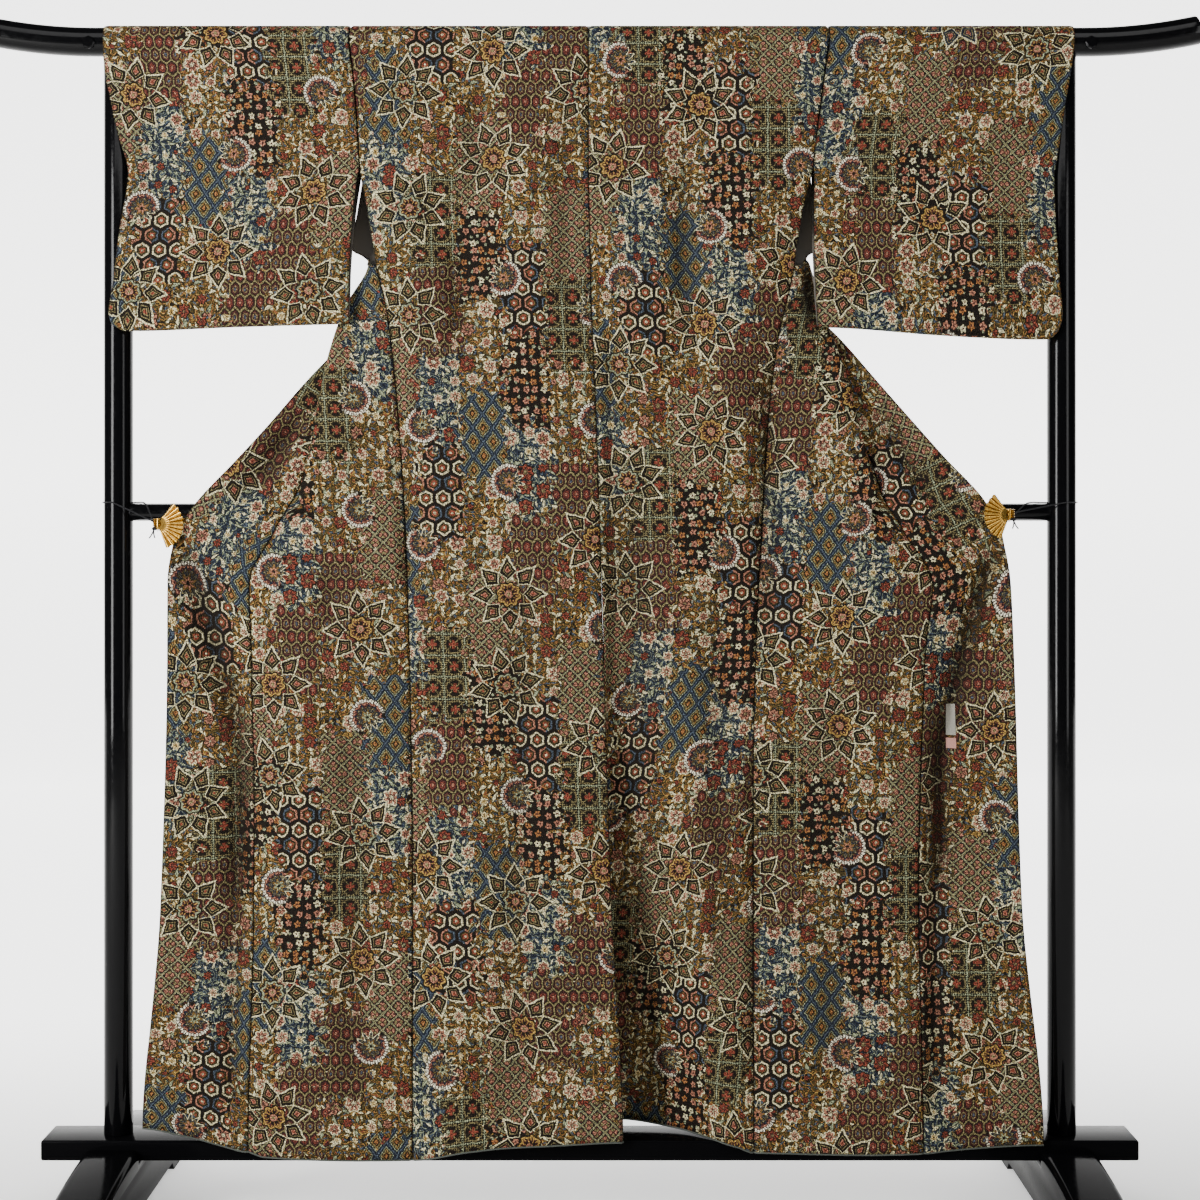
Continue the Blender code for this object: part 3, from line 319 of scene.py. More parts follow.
def cut_board(outline, thickness):
    """A solid board from its outline in mm, with the run of its thickness in metres."""
    bm = bmesh.new()
    face = bm.faces.new([bm.verts.new(Vector(point) * MM) for point in outline])
    grown = bmesh.ops.extrude_face_region(bm, geom=[face])
    moved = [g for g in grown["geom"] if isinstance(g, bmesh.types.BMVert)]
    bmesh.ops.translate(bm, vec=thickness, verts=moved)
    bmesh.ops.recalc_face_normals(bm, faces=bm.faces)
    return bm


def make_base_plank():
    bm = bmesh.new()
    bmesh.ops.create_cube(bm, size=1.0)
    size = (2 * PLANK_HALF_LENGTH, PLANK_DEPTH, PLANK_TOP - PLANK_BOTTOM)
    bmesh.ops.scale(bm, vec=Vector(size) * MM, verts=bm.verts)
    bmesh.ops.translate(bm, vec=(0.0, 0.0, (PLANK_TOP + PLANK_BOTTOM) / 2 * MM), verts=bm.verts)
    round_edges(bm, bm.edges[:], PLANK_EDGE, segments=4)
    piece = object_from(bm, "stand_plank", [base_lacquer])
    smooth_piece(piece, sharp_past=30.0)
    dress(piece, "base_plank")


def foot_side():
    """Half the side outline of a foot, from its notch over the crown and down to the arch."""
    notch = PLANK_DEPTH / 2 + SEAT_GAP
    ends = FOOT_HALF_LENGTH - FOOT_END_RADIUS
    end_top = FOOT_TOP - FOOT_TOP_CURVE * ends ** 2
    outline = [(notch, PLANK_BOTTOM - SEAT_GAP)]
    for step in range(CROWN_STEPS + 1):
        y = notch + (ends - notch) * step / CROWN_STEPS
        outline.append((y, FOOT_TOP - FOOT_TOP_CURVE * y ** 2))
    for step in range(1, END_STEPS + 1):
        turn = math.radians(90.0 * (1 - step / END_STEPS))
        height = end_top - FOOT_END_RADIUS * (1 - math.sin(turn))
        outline.append((ends + FOOT_END_RADIUS * math.cos(turn), height))
    outline += [(FOOT_HALF_LENGTH, 0.0), (FOOT_ARCH_HALF, 0.0),
                (FOOT_ARCH_HALF - FOOT_ARCH_SLOPE, FOOT_ARCH_HEIGHT)]
    return outline


def make_foot(side, sign):
    half = foot_side()
    inner = sign * POST_X - FOOT_WIDTH / 2
    outline = [(inner, y, z) for y, z in half] + [(inner, -y, z) for y, z in reversed(half)]
    bm = cut_board(outline, (FOOT_WIDTH * MM, 0.0, 0.0))
    crown = []
    for edge in bm.edges:
        a, b = (v.co / MM for v in edge.verts)
        lengthwise = abs(a.x - b.x) < 1.0
        past_plank = min(abs(a.y), abs(b.y)) > PLANK_DEPTH / 2
        if lengthwise and past_plank and min(a.z, b.z) > FOOT_ARCH_HEIGHT + 1.0:
            crown.append(edge)
    round_edges(bm, crown, FOOT_EDGE, segments=5)
    piece = object_from(bm, f"stand_foot_{side}", [base_lacquer])
    smooth_piece(piece, sharp_past=32.0)
    dress(piece, f"foot_{side}")


base_lacquer = lacquer_finish("base_lacquer", BASE_LACQUER_IOR)
make_base_plank()
make_foot("left", -1.0)
make_foot("right", 1.0)

# The rail's locking knobs: small eight-sided buttons of wood, lacquered like the rail. They pin its swept
# ends beside the posts and stand a few millimetres out of its front.
KNOB_X = 697.0
KNOB_DROP = 5.0
KNOB_RADIUS = 9.0
KNOB_OUT = 3.5
KNOB_SUNK = 2.5
KNOB_CHAMFER = 1.5
KNOB_FACE_RADIUS = 7.0


def make_knob(side, sign):
    face_y = -math.sqrt(RAIL_RADIUS ** 2 - KNOB_DROP ** 2)
    centre = Vector((sign * KNOB_X, face_y, RAIL_HEIGHT - KNOB_DROP))
    toward = Vector((0.0, -1.0, 0.0))
    stations = [(centre + toward * -KNOB_SUNK, KNOB_RADIUS),
                (centre + toward * (KNOB_OUT - KNOB_CHAMFER), KNOB_RADIUS),
                (centre + toward * KNOB_OUT, KNOB_FACE_RADIUS)]
    piece = sweep_round(f"rail_knob_{side}", stations, 8, lacquer)
    for polygon in piece.data.polygons:
        polygon.use_smooth = False
    dress(piece)


make_knob("left", -1.0)
make_knob("right", 1.0)

# The clips: a stamped, gilt fan of pleated ribs with a smooth hub, over a sprung jaw that grips the edge of
# the cloth. A thin black cord through the barrel ties each clip to the post, above the cross bar.
CLIP_HEIGHT = {"left": 961.0, "right": 974.0}
CLIP_PIVOT_X = {"left": -597.0, "right": 580.0}
GILT = (0.5, 0.3, 0.06)
GILT_TONES = ((0.34, 0.18, 0.028), (0.6, 0.37, 0.085))
GILT_CLOUDS = (0.35, 0.7)
FAN_RADIUS = 36.0
FAN_HUB = 5.0
FAN_CRESCENT = 12.0
FAN_RIBS = 11
FAN_UP = 54.0
FAN_DOWN = -70.0
FAN_BACK = -36.4
FAN_THICKNESS = 1.2
FAN_RIB_LIFT = 2.6
FAN_RINGS = 14
FAN_STEPS_A_RIB = 10
FAN_SCALLOP = 1.6
FAN_HUB_DOME = 0.9
FAN_DOTS = 5
FAN_DOTS_RADIUS = 9.5
FAN_DOTS_FROM = -40.0
FAN_DOTS_APART = 12.0
FAN_DOT_RADIUS = 0.7
JAW_FRONT = -24.5
JAW_THICKNESS = 2.0
JAW_LENGTH = 40.0
JAW_HEIGHT = 16.0
JAW_EDGE = 0.5
BARREL_RADIUS = 3.5
BARREL_Y = -32.6
BARREL_STEPS = 16
COILS = 7
COIL_PITCH = 2.2
COIL_SIZE = (3.6, 3.6, 1.15)
COIL_OUT = 4.5
CORD_BLACK = (0.004, 0.004, 0.005)
CORD_RADIUS = 1.0
CORD_ENDS_APART = 5.0
CORD_RING_STEPS = 32
KNOT_OUT = 5.0
KNOT_FRONT = 4.0
KNOT_BELOW = 6.5
KNOT_STEPS = 24
KNOT_SIZE = (2.4, 2.0, 2.4)


def gilt_finish():
    """Gilding over stamped brass: clouded between two golds, and rubbed smooth."""
    material = plain_finish("gilt_metal", GILT, roughness=0.26)
    tree = material.node_tree
    shader = tree.nodes["Principled BSDF"]
    shader.inputs["Metallic"].default_value = 1.0
    place = shader_node(tree, "TexCoord")
    cloud = shader_node(tree, "TexNoise", Scale=420.0, Detail=4.0)
    tone = shader_node(tree, "ValToRGB")
    for stop, position, gold in zip(tone.color_ramp.elements, GILT_CLOUDS, GILT_TONES):
        stop.position = position
        stop.color = (*gold, 1.0)
    tree.links.new(place.outputs["Object"], cloud.inputs["Vector"])
    tree.links.new(cloud.outputs["Fac"], tone.inputs["Fac"])
    tree.links.new(tone.outputs["Color"], shader.inputs["Base Color"])
    add_relief(material, cloud.outputs["Fac"], strength=0.3, distance=0.0004)
    return material


def cord_finish():
    """Black twisted cord, matt, with its twist as fine relief."""
    material = plain_finish("black_cord", CORD_BLACK, roughness=0.7)
    tree = material.node_tree
    tree.nodes["Principled BSDF"].inputs["Specular IOR Level"].default_value = 0.3
    place = shader_node(tree, "TexCoord")
    twist = shader_node(tree, "TexWave", Scale=700.0, Distortion=3.0)
    tree.links.new(place.outputs["Object"], twist.inputs["Vector"])
    add_relief(material, twist.outputs["Fac"], strength=0.5, distance=0.0005)
    return material


def fan_point(share_out, share_round, sign, pivot):
    """A point on the fan's face: round ribs from the hub's crescent to the scalloped rim."""
    angle = math.radians(FAN_DOWN + (FAN_UP - FAN_DOWN) * share_round)
    wave = abs(math.sin(math.pi * FAN_RIBS * share_round))
    radius = FAN_HUB + (FAN_RADIUS - FAN_HUB) * share_out
    past_crescent = min(max((radius - FAN_CRESCENT) / 3.0, 0.0), 1.0)
    radius -= (1.0 - wave) * FAN_SCALLOP * share_out ** 6
    lift = FAN_RIB_LIFT * (0.35 + 0.65 * share_out) * wave ** 0.7 * past_crescent
    depth = -FAN_THICKNESS - lift - FAN_HUB_DOME * (1.0 - past_crescent)
    return pivot + Vector((-sign * radius * math.cos(angle), depth, radius * math.sin(angle)))


def make_fan(side, sign):
    bm = bmesh.new()
    around = FAN_RIBS * FAN_STEPS_A_RIB
    bmesh.ops.create_grid(bm, x_segments=FAN_RINGS, y_segments=around, size=0.5)
    pivot = Vector((CLIP_PIVOT_X[side], FAN_BACK, CLIP_HEIGHT[side]))
    for vert in bm.verts:
        vert.co = fan_point(vert.co.x + 0.5, vert.co.y + 0.5, sign, pivot) * MM
    bmesh.ops.recalc_face_normals(bm, faces=bm.faces)
    if sum(face.normal.y for face in bm.faces) > 0:
        bmesh.ops.reverse_faces(bm, faces=bm.faces)
    bmesh.ops.solidify(bm, geom=bm.faces[:], thickness=FAN_THICKNESS * MM)
    bmesh.ops.recalc_face_normals(bm, faces=bm.faces)
    for dot in range(FAN_DOTS):
        turn = math.radians(FAN_DOTS_FROM - FAN_DOTS_APART * dot)
        place = pivot + Vector((-sign * FAN_DOTS_RADIUS * math.cos(turn), -FAN_THICKNESS - 1.0,
                                FAN_DOTS_RADIUS * math.sin(turn)))
        bmesh.ops.create_uvsphere(bm, u_segments=8, v_segments=6, radius=FAN_DOT_RADIUS * MM,
                                  matrix=Matrix.Translation(place * MM))
    piece = object_from(bm, f"gilt_fan_{side}", [gilt])
    smooth_piece(piece, sharp_past=55.0)
    dress(piece, f"clip_fan_{side}")


def make_jaw(side, sign):
    """The jaw's strip with its rolled barrel, and a coil of the spring showing at each end of the barrel."""
    back = JAW_FRONT + JAW_THICKNESS
    section = [(-JAW_LENGTH, JAW_FRONT), (-JAW_LENGTH, back), (BARREL_RADIUS, back)]
    for step in range(BARREL_STEPS + 1):
        turn = math.radians(-180.0 * step / BARREL_STEPS)
        section.append((BARREL_RADIUS * math.cos(turn), BARREL_Y + BARREL_RADIUS * math.sin(turn)))
    section.append((-BARREL_RADIUS, JAW_FRONT))
    low = CLIP_HEIGHT[side] - JAW_HEIGHT / 2
    outline = [(CLIP_PIVOT_X[side] + sign * x, y, low) for x, y in section]
    bm = cut_board(outline, (0.0, 0.0, JAW_HEIGHT * MM))
    level = [e for e in bm.edges if abs(e.verts[0].co.z - e.verts[1].co.z) < 1e-6]
    round_edges(bm, level, JAW_EDGE, segments=2)
    centre = Vector((CLIP_PIVOT_X[side] + sign * COIL_OUT, BARREL_Y, CLIP_HEIGHT[side]))
    for coil in range(COILS):
        place = centre + Vector((0.0, 0.0, (coil - COILS // 2) * COIL_PITCH))
        made = bmesh.ops.create_uvsphere(bm, u_segments=14, v_segments=8, radius=1.0)
        bmesh.ops.scale(bm, vec=Vector(COIL_SIZE) * MM, verts=made["verts"])
        bmesh.ops.translate(bm, vec=place * MM, verts=made["verts"])
    piece = object_from(bm, f"gilt_jaw_{side}", [gilt])
    smooth_piece(piece, sharp_past=40.0)
    dress(piece, f"clip_jaw_{side}")


def clip_cord_route(side, sign):
    """From the barrel round the post, just above the cross bar, and back over the bar to the barrel."""
    start = Vector((CLIP_PIVOT_X[side] + sign * (BARREL_RADIUS + CORD_RADIUS + SEAT_GAP),
                    BARREL_Y, CLIP_HEIGHT[side] + CORD_ENDS_APART / 2))
    around = POST_RADIUS + CORD_RADIUS + SEAT_GAP
    above_bar = BAR_HEIGHT + BAR_RADIUS + CORD_RADIUS + SEAT_GAP
    inward_x = sign * POST_X - start.x
    heading = math.atan2(start.y, sign * inward_x)
    tangent = math.acos(around / math.hypot(inward_x, start.y))
    ring = []
    for step in range(CORD_RING_STEPS + 1):
        turn = heading - tangent - (2 * math.pi - 2 * tangent) * step / CORD_RING_STEPS
        ring.append(Vector((sign * (POST_X - around * math.cos(turn)), around * math.sin(turn), above_bar)))
    past_bar = -(BAR_RADIUS + CORD_RADIUS + SEAT_GAP)
    over_share = (past_bar - ring[-1].y) / (start.y - ring[-1].y)
    end = start - Vector((0.0, 0.0, CORD_ENDS_APART))
    over_bar = ring[-1].lerp(end, over_share)
    over_bar.z = above_bar
    return [start, start.lerp(ring[0], 0.5), *ring, ring[-1].lerp(over_bar, 0.5), over_bar,
            over_bar.lerp(end, 0.5), end]


def cord_run(name, points, radius):
    """A round cord with closed ends along a soft path through points."""
    curve = bpy.data.curves.new(name, "CURVE")
    curve.dimensions = "3D"
    curve.bevel_depth = radius * MM
    curve.bevel_resolution = 3
    curve.use_fill_caps = True
    curve.resolution_u = 4
    spline = curve.splines.new("NURBS")
    spline.points.add(len(points) - 1)
    for target, point in zip(spline.points, points):
        target.co = (*(Vector(point) * MM), 1.0)
    spline.order_u = 3
    spline.use_endpoint_u = True
    curve.materials.append(black_cord)
    obj = bpy.data.objects.new(name, curve)
    bpy.context.scene.collection.objects.link(obj)
    return obj


def make_clip_cord(side, sign):
    """The tie of a clip, its two loose ends, and the knot of two turns that they come out of."""
    tie = cord_run(f"tie_{side}", clip_cord_route(side, sign), CORD_RADIUS)
    dress(tie, f"clip_cord_{side}")
    foot = Vector((CLIP_PIVOT_X[side] + sign * KNOT_OUT, BARREL_Y - KNOT_FRONT,
                   CLIP_HEIGHT[side] - KNOT_BELOW))
    ends = (("long", ((0, 0, 0), (1.5, -1, -4), (3.5, -1, -9), (7, 0, -13))),
            ("short", ((0, 0, 0), (0.5, -1.5, -4), (0, -2, -9), (-1.5, -1.5, -13))))
    for label, offsets in ends:
        points = [foot + Vector((sign * x, y, z)) for x, y, z in offsets]
        dress(cord_run(f"tie_end_{label}_{side}", points, CORD_RADIUS * 0.9))
    wide, deep, high = KNOT_SIZE
    turns = []
    for step in range(KNOT_STEPS + 1):
        turn = 4 * math.pi * step / KNOT_STEPS
        height = high / 2 - high * step / KNOT_STEPS
        turns.append(foot + Vector((wide * math.cos(turn), deep * math.sin(turn), height)))
    dress(cord_run(f"tie_knot_{side}", turns, CORD_RADIUS))


gilt = gilt_finish()
black_cord = cord_finish()
for clip_side, clip_sign in (("left", -1.0), ("right", 1.0)):
    make_fan(clip_side, clip_sign)
    make_jaw(clip_side, clip_sign)
    make_clip_cord(clip_side, clip_sign)

# The silk: one narrow bolt of crepe, printed with a patchwork of small traditional fields and with star and
# round flowers strewn over them. The print lies flat on the bolt, in mm across and along it, so it runs on
# through a panel and breaks at every seam. The lining and the hem's edging are plain silk.
OCHRE = (0.092, 0.052, 0.0125)
OLIVE = (0.036, 0.026, 0.008)
BROWN_BLACK = (0.006, 0.004, 0.0025)
NAVY = (0.0085, 0.0108, 0.0165)
STEEL = (0.031, 0.041, 0.053)
RED = (0.115, 0.026, 0.015)
PINK = (0.2, 0.085, 0.052)
MAROON = (0.032, 0.0095, 0.0085)
CREAM = (0.38, 0.345, 0.2)
PALE_GREEN = (0.155, 0.17, 0.1)
WHITE = (0.5, 0.46, 0.35)
ORANGE = (0.17, 0.07, 0.022)
KHAKI = (0.11, 0.09, 0.038)
GOLD = (0.215, 0.13, 0.032)
HEM_SILK = (0.03, 0.036, 0.027)
LINING_SILK = (0.07, 0.06, 0.047)

# The patchwork: what each block of the print holds, five strips across and five blocks up the bolt
LAYOUT = ("arabesque", "hexagons", "arabesque", "garden", "long_net",
          "lozenges", "garden", "diamonds", "blossoms", "arabesque",
          "arabesque", "long_net", "arabesque", "hexagons", "quatrefoils",
          "garden", "quatrefoils", "blossoms", "arabesque", "lozenges",
          "diamonds", "arabesque", "lozenges", "long_net", "arabesque")
GROUNDS = ("arabesque", "hexagons", "lozenges", "long_net", "diamonds", "garden", "blossoms", "quatrefoils")
STRIP = 62.0
BLOCK = 126.0
STRIPS = 5.0
BLOCK_SHIFT = 0.382
BORDER_WANDER = 42.0
BORDER_INSIDE = (0.482, 0.49)
THREAD_WANDER = 2.2
STAR_PITCH = (123.0, 150.0)
STAR_SHIFT = 0.47
STAR_CHANCE = 0.55
ROUND_CHANCE = 0.66
# painted shade: how strongly the crepe's crinkle is painted as dark speckle over the print
CREPE_PAINTED_SHADE = 0.85


class Field:
    """A value worked out in the cloth's shader: every operation on it adds one math node."""
    tree = None

    def __init__(self, socket):
        self.socket = socket

    def op(self, operation, *others, clamp=False):
        node = shader_node(Field.tree, "Math")
        node.operation = operation
        node.use_clamp = clamp
        for slot, value in zip(node.inputs, (self, *others)):
            feed(slot, value)
        return Field(node.outputs[0])

    def __add__(self, other):
        return self.op("ADD", other)

    def __sub__(self, other):
        return self.op("SUBTRACT", other)

    def __mul__(self, other):
        return self.op("MULTIPLY", other)

    def __abs__(self):
        return self.op("ABSOLUTE")

    def scaled(self, factor, addend=0.0):
        return self.op("MULTIPLY_ADD", factor, addend)

    def cell(self, pitch, shift=0.0):
        """Place in a repeat of one pitch, from -0.5 to 0.5."""
        return self.scaled(1.0 / pitch, shift).op("FRACT") - 0.5

    def count(self, pitch):
        """Number of the repeat of one pitch that the value falls in."""
        return self.scaled(1 / pitch).op("FLOOR")

    def under(self, limit, soft):
        """1 where the value is under the limit, 0 above it, and in between over a soft border."""
        return self.op("MULTIPLY_ADD", -1.0 / soft, limit / soft + 0.5, clamp=True)

    def over(self, limit, soft=0.001):
        return self.op("MULTIPLY_ADD", 1.0 / soft, 0.5 - limit / soft, clamp=True)

    def at_least(self, other):
        return self.op("MAXIMUM", other)

    def at_most(self, other):
        return self.op("MINIMUM", other)


def feed(slot, value):
    """Give a node's input its value: a field or another node's output is linked, a colour or a number set."""
    if isinstance(value, Field):
        Field.tree.links.new(value.socket, slot)
    elif isinstance(value, bpy.types.NodeSocket):
        Field.tree.links.new(value, slot)
    else:
        slot.default_value = (*value, 1.0) if isinstance(value, tuple) else value


def pair(x, y):
    """Two values joined to a vector, for the textures."""
    node = shader_node(Field.tree, "CombineXYZ")
    feed(node.inputs[0], x)
    feed(node.inputs[1], y)
    return node.outputs[0]


def split(vector):
    node = shader_node(Field.tree, "SeparateXYZ")
    feed(node.inputs[0], vector)
    return [Field(output) for output in node.outputs]


def polar(x, y):
    """Distance and direction from the middle of a flower."""
    return (x * x + y * y).op("SQRT"), y.op("ARCTAN2", x)


def ruffled(far, turns, depth):
    """A distance that ripples as it goes round a flower, so that its limit is a scalloped edge."""
    return turns.op("SINE").op("MULTIPLY_ADD", depth, far)


def noise_field(place, scale, seed, detail=0.0, colour=False):
    node = shader_node(Field.tree, "TexNoise", Scale=scale, Detail=detail)
    node.noise_dimensions = "2D"
    shifted = shader_node(Field.tree, "VectorMath")
    shifted.operation = "ADD"
    shifted.inputs[1].default_value = (seed, seed * 0.7, seed * 1.3)
    feed(shifted.inputs[0], place)
    feed(node.inputs["Vector"], shifted.outputs[0])
    return node.outputs["Color"] if colour else Field(node.outputs["Fac"])


def white_noise(place, seed):
    """One even random value, and a colour of three more, for each whole place."""
    node = shader_node(Field.tree, "TexWhiteNoise")
    node.noise_dimensions = "4D"
    node.inputs["W"].default_value = seed
    feed(node.inputs["Vector"], place)
    return Field(node.outputs["Value"]), node.outputs["Color"]


def tint(base, colour, mask):
    """A colour laid over another one where the mask is 1."""
    node = shader_node(Field.tree, "Mix")
    node.data_type = "RGBA"
    feed(node.inputs[0], mask)
    feed(node.inputs[6], base)
    feed(node.inputs[7], colour)
    return node.outputs[2]


def printed(colour, *layers):
    """Colours laid over a ground one after the other, each where its own mask is 1."""
    for shade, mask in layers:
        colour = tint(colour, shade, mask)
    return colour


def hexagon_net(u, v, pitch, stretch):
    """Distance from the middle of the nearest cell of a hexagon net, 1 at its edge, and the cell's set."""
    rise = pitch * 1.732 * stretch
    sets = []
    for shift in (0.0, 0.5):
        x = abs(u.cell(pitch, shift))
        y = abs(v.cell(rise, shift))
        sets.append((x * 2.0).at_least(y.op("MULTIPLY_ADD", 3.0, x)))
    return sets[0].at_most(sets[1]), sets[0].op("LESS_THAN", sets[1])


def tortoiseshell(u, v):
    """Hexagons with rings in two colours round a red rosette, on brown-black."""
    edge, odd = hexagon_net(u, v, pitch=24.0, stretch=1.0)
    columns = u.scaled(1 / 48.0, 0.25).op("FRACT").over(0.5, 0.02)
    ring = tint(tint(CREAM, STEEL, odd), PINK, columns * odd)
    return printed(BROWN_BLACK,
                   (ring, edge.under(0.78, 0.07) * edge.over(0.6, 0.07)),
                   (OLIVE, edge.under(0.46, 0.08)),
                   (RED, edge.under(0.34, 0.1)),
                   (CREAM, edge.under(0.12, 0.1)))


def lozenges(u, v):
    """A lattice of pale double lines over dark cells with a four-petalled flower in each."""
    p = (u + v).cell(22.0)
    q = (u - v).cell(22.0)
    far = abs(p).at_least(abs(q))
    near = abs(p).at_most(abs(q))
    flower = far.under(0.33, 0.05) * near.over(0.04, 0.03) * near.under(0.2, 0.06)
    odd_p = (u + v).scaled(1 / 44.0, 0.25).op("FRACT").over(0.5, 0.01)
    odd_q = (u - v).scaled(1 / 44.0, 0.25).op("FRACT").over(0.5, 0.01)
    return printed(MAROON,
                   (tint(PINK, KHAKI, abs(odd_p - odd_q)), flower),
                   (BROWN_BLACK, far.over(0.34, 0.03)),
                   (tint(KHAKI, PALE_GREEN, far.under(0.46, 0.02)), far.over(0.43, 0.03)))


def long_net(u, v):
    """A net of tall hexagons in ochre lines, with a maroon oval and a pink cross in each."""
    edge, odd = hexagon_net(u, v, pitch=14.0, stretch=1.5)
    return printed(BROWN_BLACK,
                   (MAROON, edge.under(0.72, 0.1)),
                   (tint(RED, KHAKI, odd), edge.under(0.46, 0.1) * edge.over(0.34, 0.1)),
                   (tint(PINK, STEEL, odd), edge.under(0.2, 0.1)),
                   (KHAKI, edge.over(0.88, 0.06)))


def diamonds(u, v, grain):
    """Concentric diamonds in ochre and cream, set like bricks on navy."""
    sets = []
    for shift in (0.0, 0.5):
        sets.append(abs(u.cell(28.0, shift)) + abs(v.cell(39.0, shift)))
    edge = sets[0].at_most(sets[1]) * 2.0
    return printed(NAVY,
                   (STEEL, edge.over(0.93, 0.04)),
                   (PALE_GREEN, edge.under(0.72, 0.05)),
                   (BROWN_BLACK, edge.under(0.65, 0.05)),
                   (tint(OCHRE, KHAKI, grain.over(0.5, 0.1)), edge.under(0.55, 0.05)),
                   (BROWN_BLACK, edge.under(0.34, 0.06)),
                   (ORANGE, edge.under(0.18, 0.08)))


def jittered(u, v, pitch, seed):
    """A random place near each point of a square lattice: offsets from it in mm, and more random values."""
    chance, spread = white_noise(pair(u.count(pitch), v.count(pitch)), seed)
    rx, ry, rz = split(spread)
    x = (u.cell(pitch) + rx.scaled(-0.5, 0.25)) * pitch
    y = (v.cell(pitch) + ry.scaled(-0.5, 0.25)) * pitch
    return x, y, chance, rz


def stems(swirl, grain, navy):
    """Curling stems on ochre, or on navy in the garden fields."""
    waves = swirl.scaled(6.5).op("FRACT")
    return printed(tint(OCHRE, OLIVE, waves.over(0.55, 0.3)),
                   (NAVY, navy),
                   (tint(BROWN_BLACK, STEEL, navy), abs(waves - 0.5).under(0.1, 0.06)),
                   (tint(GOLD, PALE_GREEN, navy), abs(waves - 0.3).under(0.045, 0.05)),
                   (tint(RED, NAVY, navy), abs(waves - 0.12).under(0.07, 0.05) * grain.over(0.5, 0.06)))


def leaves(colour, u, v, navy):
    """Small slanting leaves, and broad bent ones with a dark outline."""
    x, y, chance, other = jittered(u, v, pitch=9.5, seed=1.0)
    turn = other * 6.283
    sine = turn.op("SINE")
    cosine = turn.op("COSINE")
    along = abs(x * cosine + y * sine)
    aside = abs(y * cosine - x * sine)
    small = (along * 0.36 + aside).under(1.6, 0.6)
    colour = tint(colour, tint(tint(STEEL, PALE_GREEN, navy), CREAM, chance.over(0.62, 0.1)), small)
    x, y, chance, other = jittered(u, v + 5.0, pitch=16.0, seed=9.0)
    turn = other.scaled(2.6, 0.3)
    along = x * turn.op("COSINE") + y * turn.op("SINE")
    aside = y * turn.op("COSINE") - x * turn.op("SINE") + along * along * 0.035
    broad = abs(along) * 0.34 + abs(aside)
    here = chance.over(0.25)
    return printed(colour,
                   (BROWN_BLACK, broad.under(3.3, 0.6) * here),
                   (tint(PALE_GREEN, CREAM, chance.over(0.6)), broad.under(2.3, 0.6) * here))


def rosettes(colour, u, v, navy):
    """Rosettes of seven ruffled petals in many sizes, with veins and a dark eye."""
    x, y, chance, other = jittered(u, v, pitch=25.0, seed=2.0)
    far, angle = polar(x, y)
    petals = ruffled(far * other.scaled(0.7, 0.8), angle.scaled(7.0), 1.1) + other * 5.0
    veins = abs(angle.cell(0.9)).under(0.14, 0.1) * petals.under(7.2, 0.8) * petals.over(4.6, 0.8)
    return printed(colour,
                   (tint(BROWN_BLACK, CREAM, (chance + navy * 0.15).over(0.55)), petals.under(9.6, 0.8)),
                   (tint(RED, tint(PINK, GOLD, other.over(0.6)), chance.over(0.4)), petals.under(8.0, 0.8)),
                   (tint(BROWN_BLACK, CREAM, chance.over(0.7)), veins),
                   (tint(MAROON, BROWN_BLACK, other.over(0.5)), petals.under(4.4, 0.8)),
                   (tint(KHAKI, CREAM, chance.over(0.5)), petals.under(2.2, 0.8)))


def blossoms(u, v):
    """A dark ground strewn with tiny blossoms and leaves."""
    colour = BROWN_BLACK
    for pitch, seed, size in ((12.0, 3.0, 1.9), (13.0, 6.0, 4.0)):
        x, y, chance, other = jittered(u + seed * 2.3, v, pitch, seed)
        far, angle = polar(x, y)
        shape = ruffled(far, (angle + other * 6.0) * 5.0, 0.22 * size)
        shade = PALE_GREEN
        if size > 2.0:
            shade = tint(tint(ORANGE, PINK, chance.over(0.5)), CREAM, other.over(0.8))
        colour = tint(colour, shade, shape.under(size, 0.7))
    return tint(colour, MAROON, far.under(1.4, 0.5))


def quatrefoils(u, v):
    """A dotted net of rings on brown-black, with red crosses between."""
    p = abs(u.cell(30.0))
    q = abs(v.cell(30.0))
    ring = (p * p + q * q).op("SQRT")
    arms = p.at_most(q)
    reach = p.at_least(q)
    dots = abs(u.cell(3.2) * v.cell(3.2)).under(0.06, 0.05)
    band = abs(ring - 0.42).under(0.055, 0.03)
    diagonal = abs(p - q).under(0.05, 0.03) * ring.under(0.62, 0.04)
    return printed(BROWN_BLACK,
                   (KHAKI, band.at_least(diagonal) * dots),
                   (PALE_GREEN, reach.over(0.455, 0.03) * dots),
                   (RED, arms.under(0.06, 0.04) * reach.under(0.2, 0.05)))


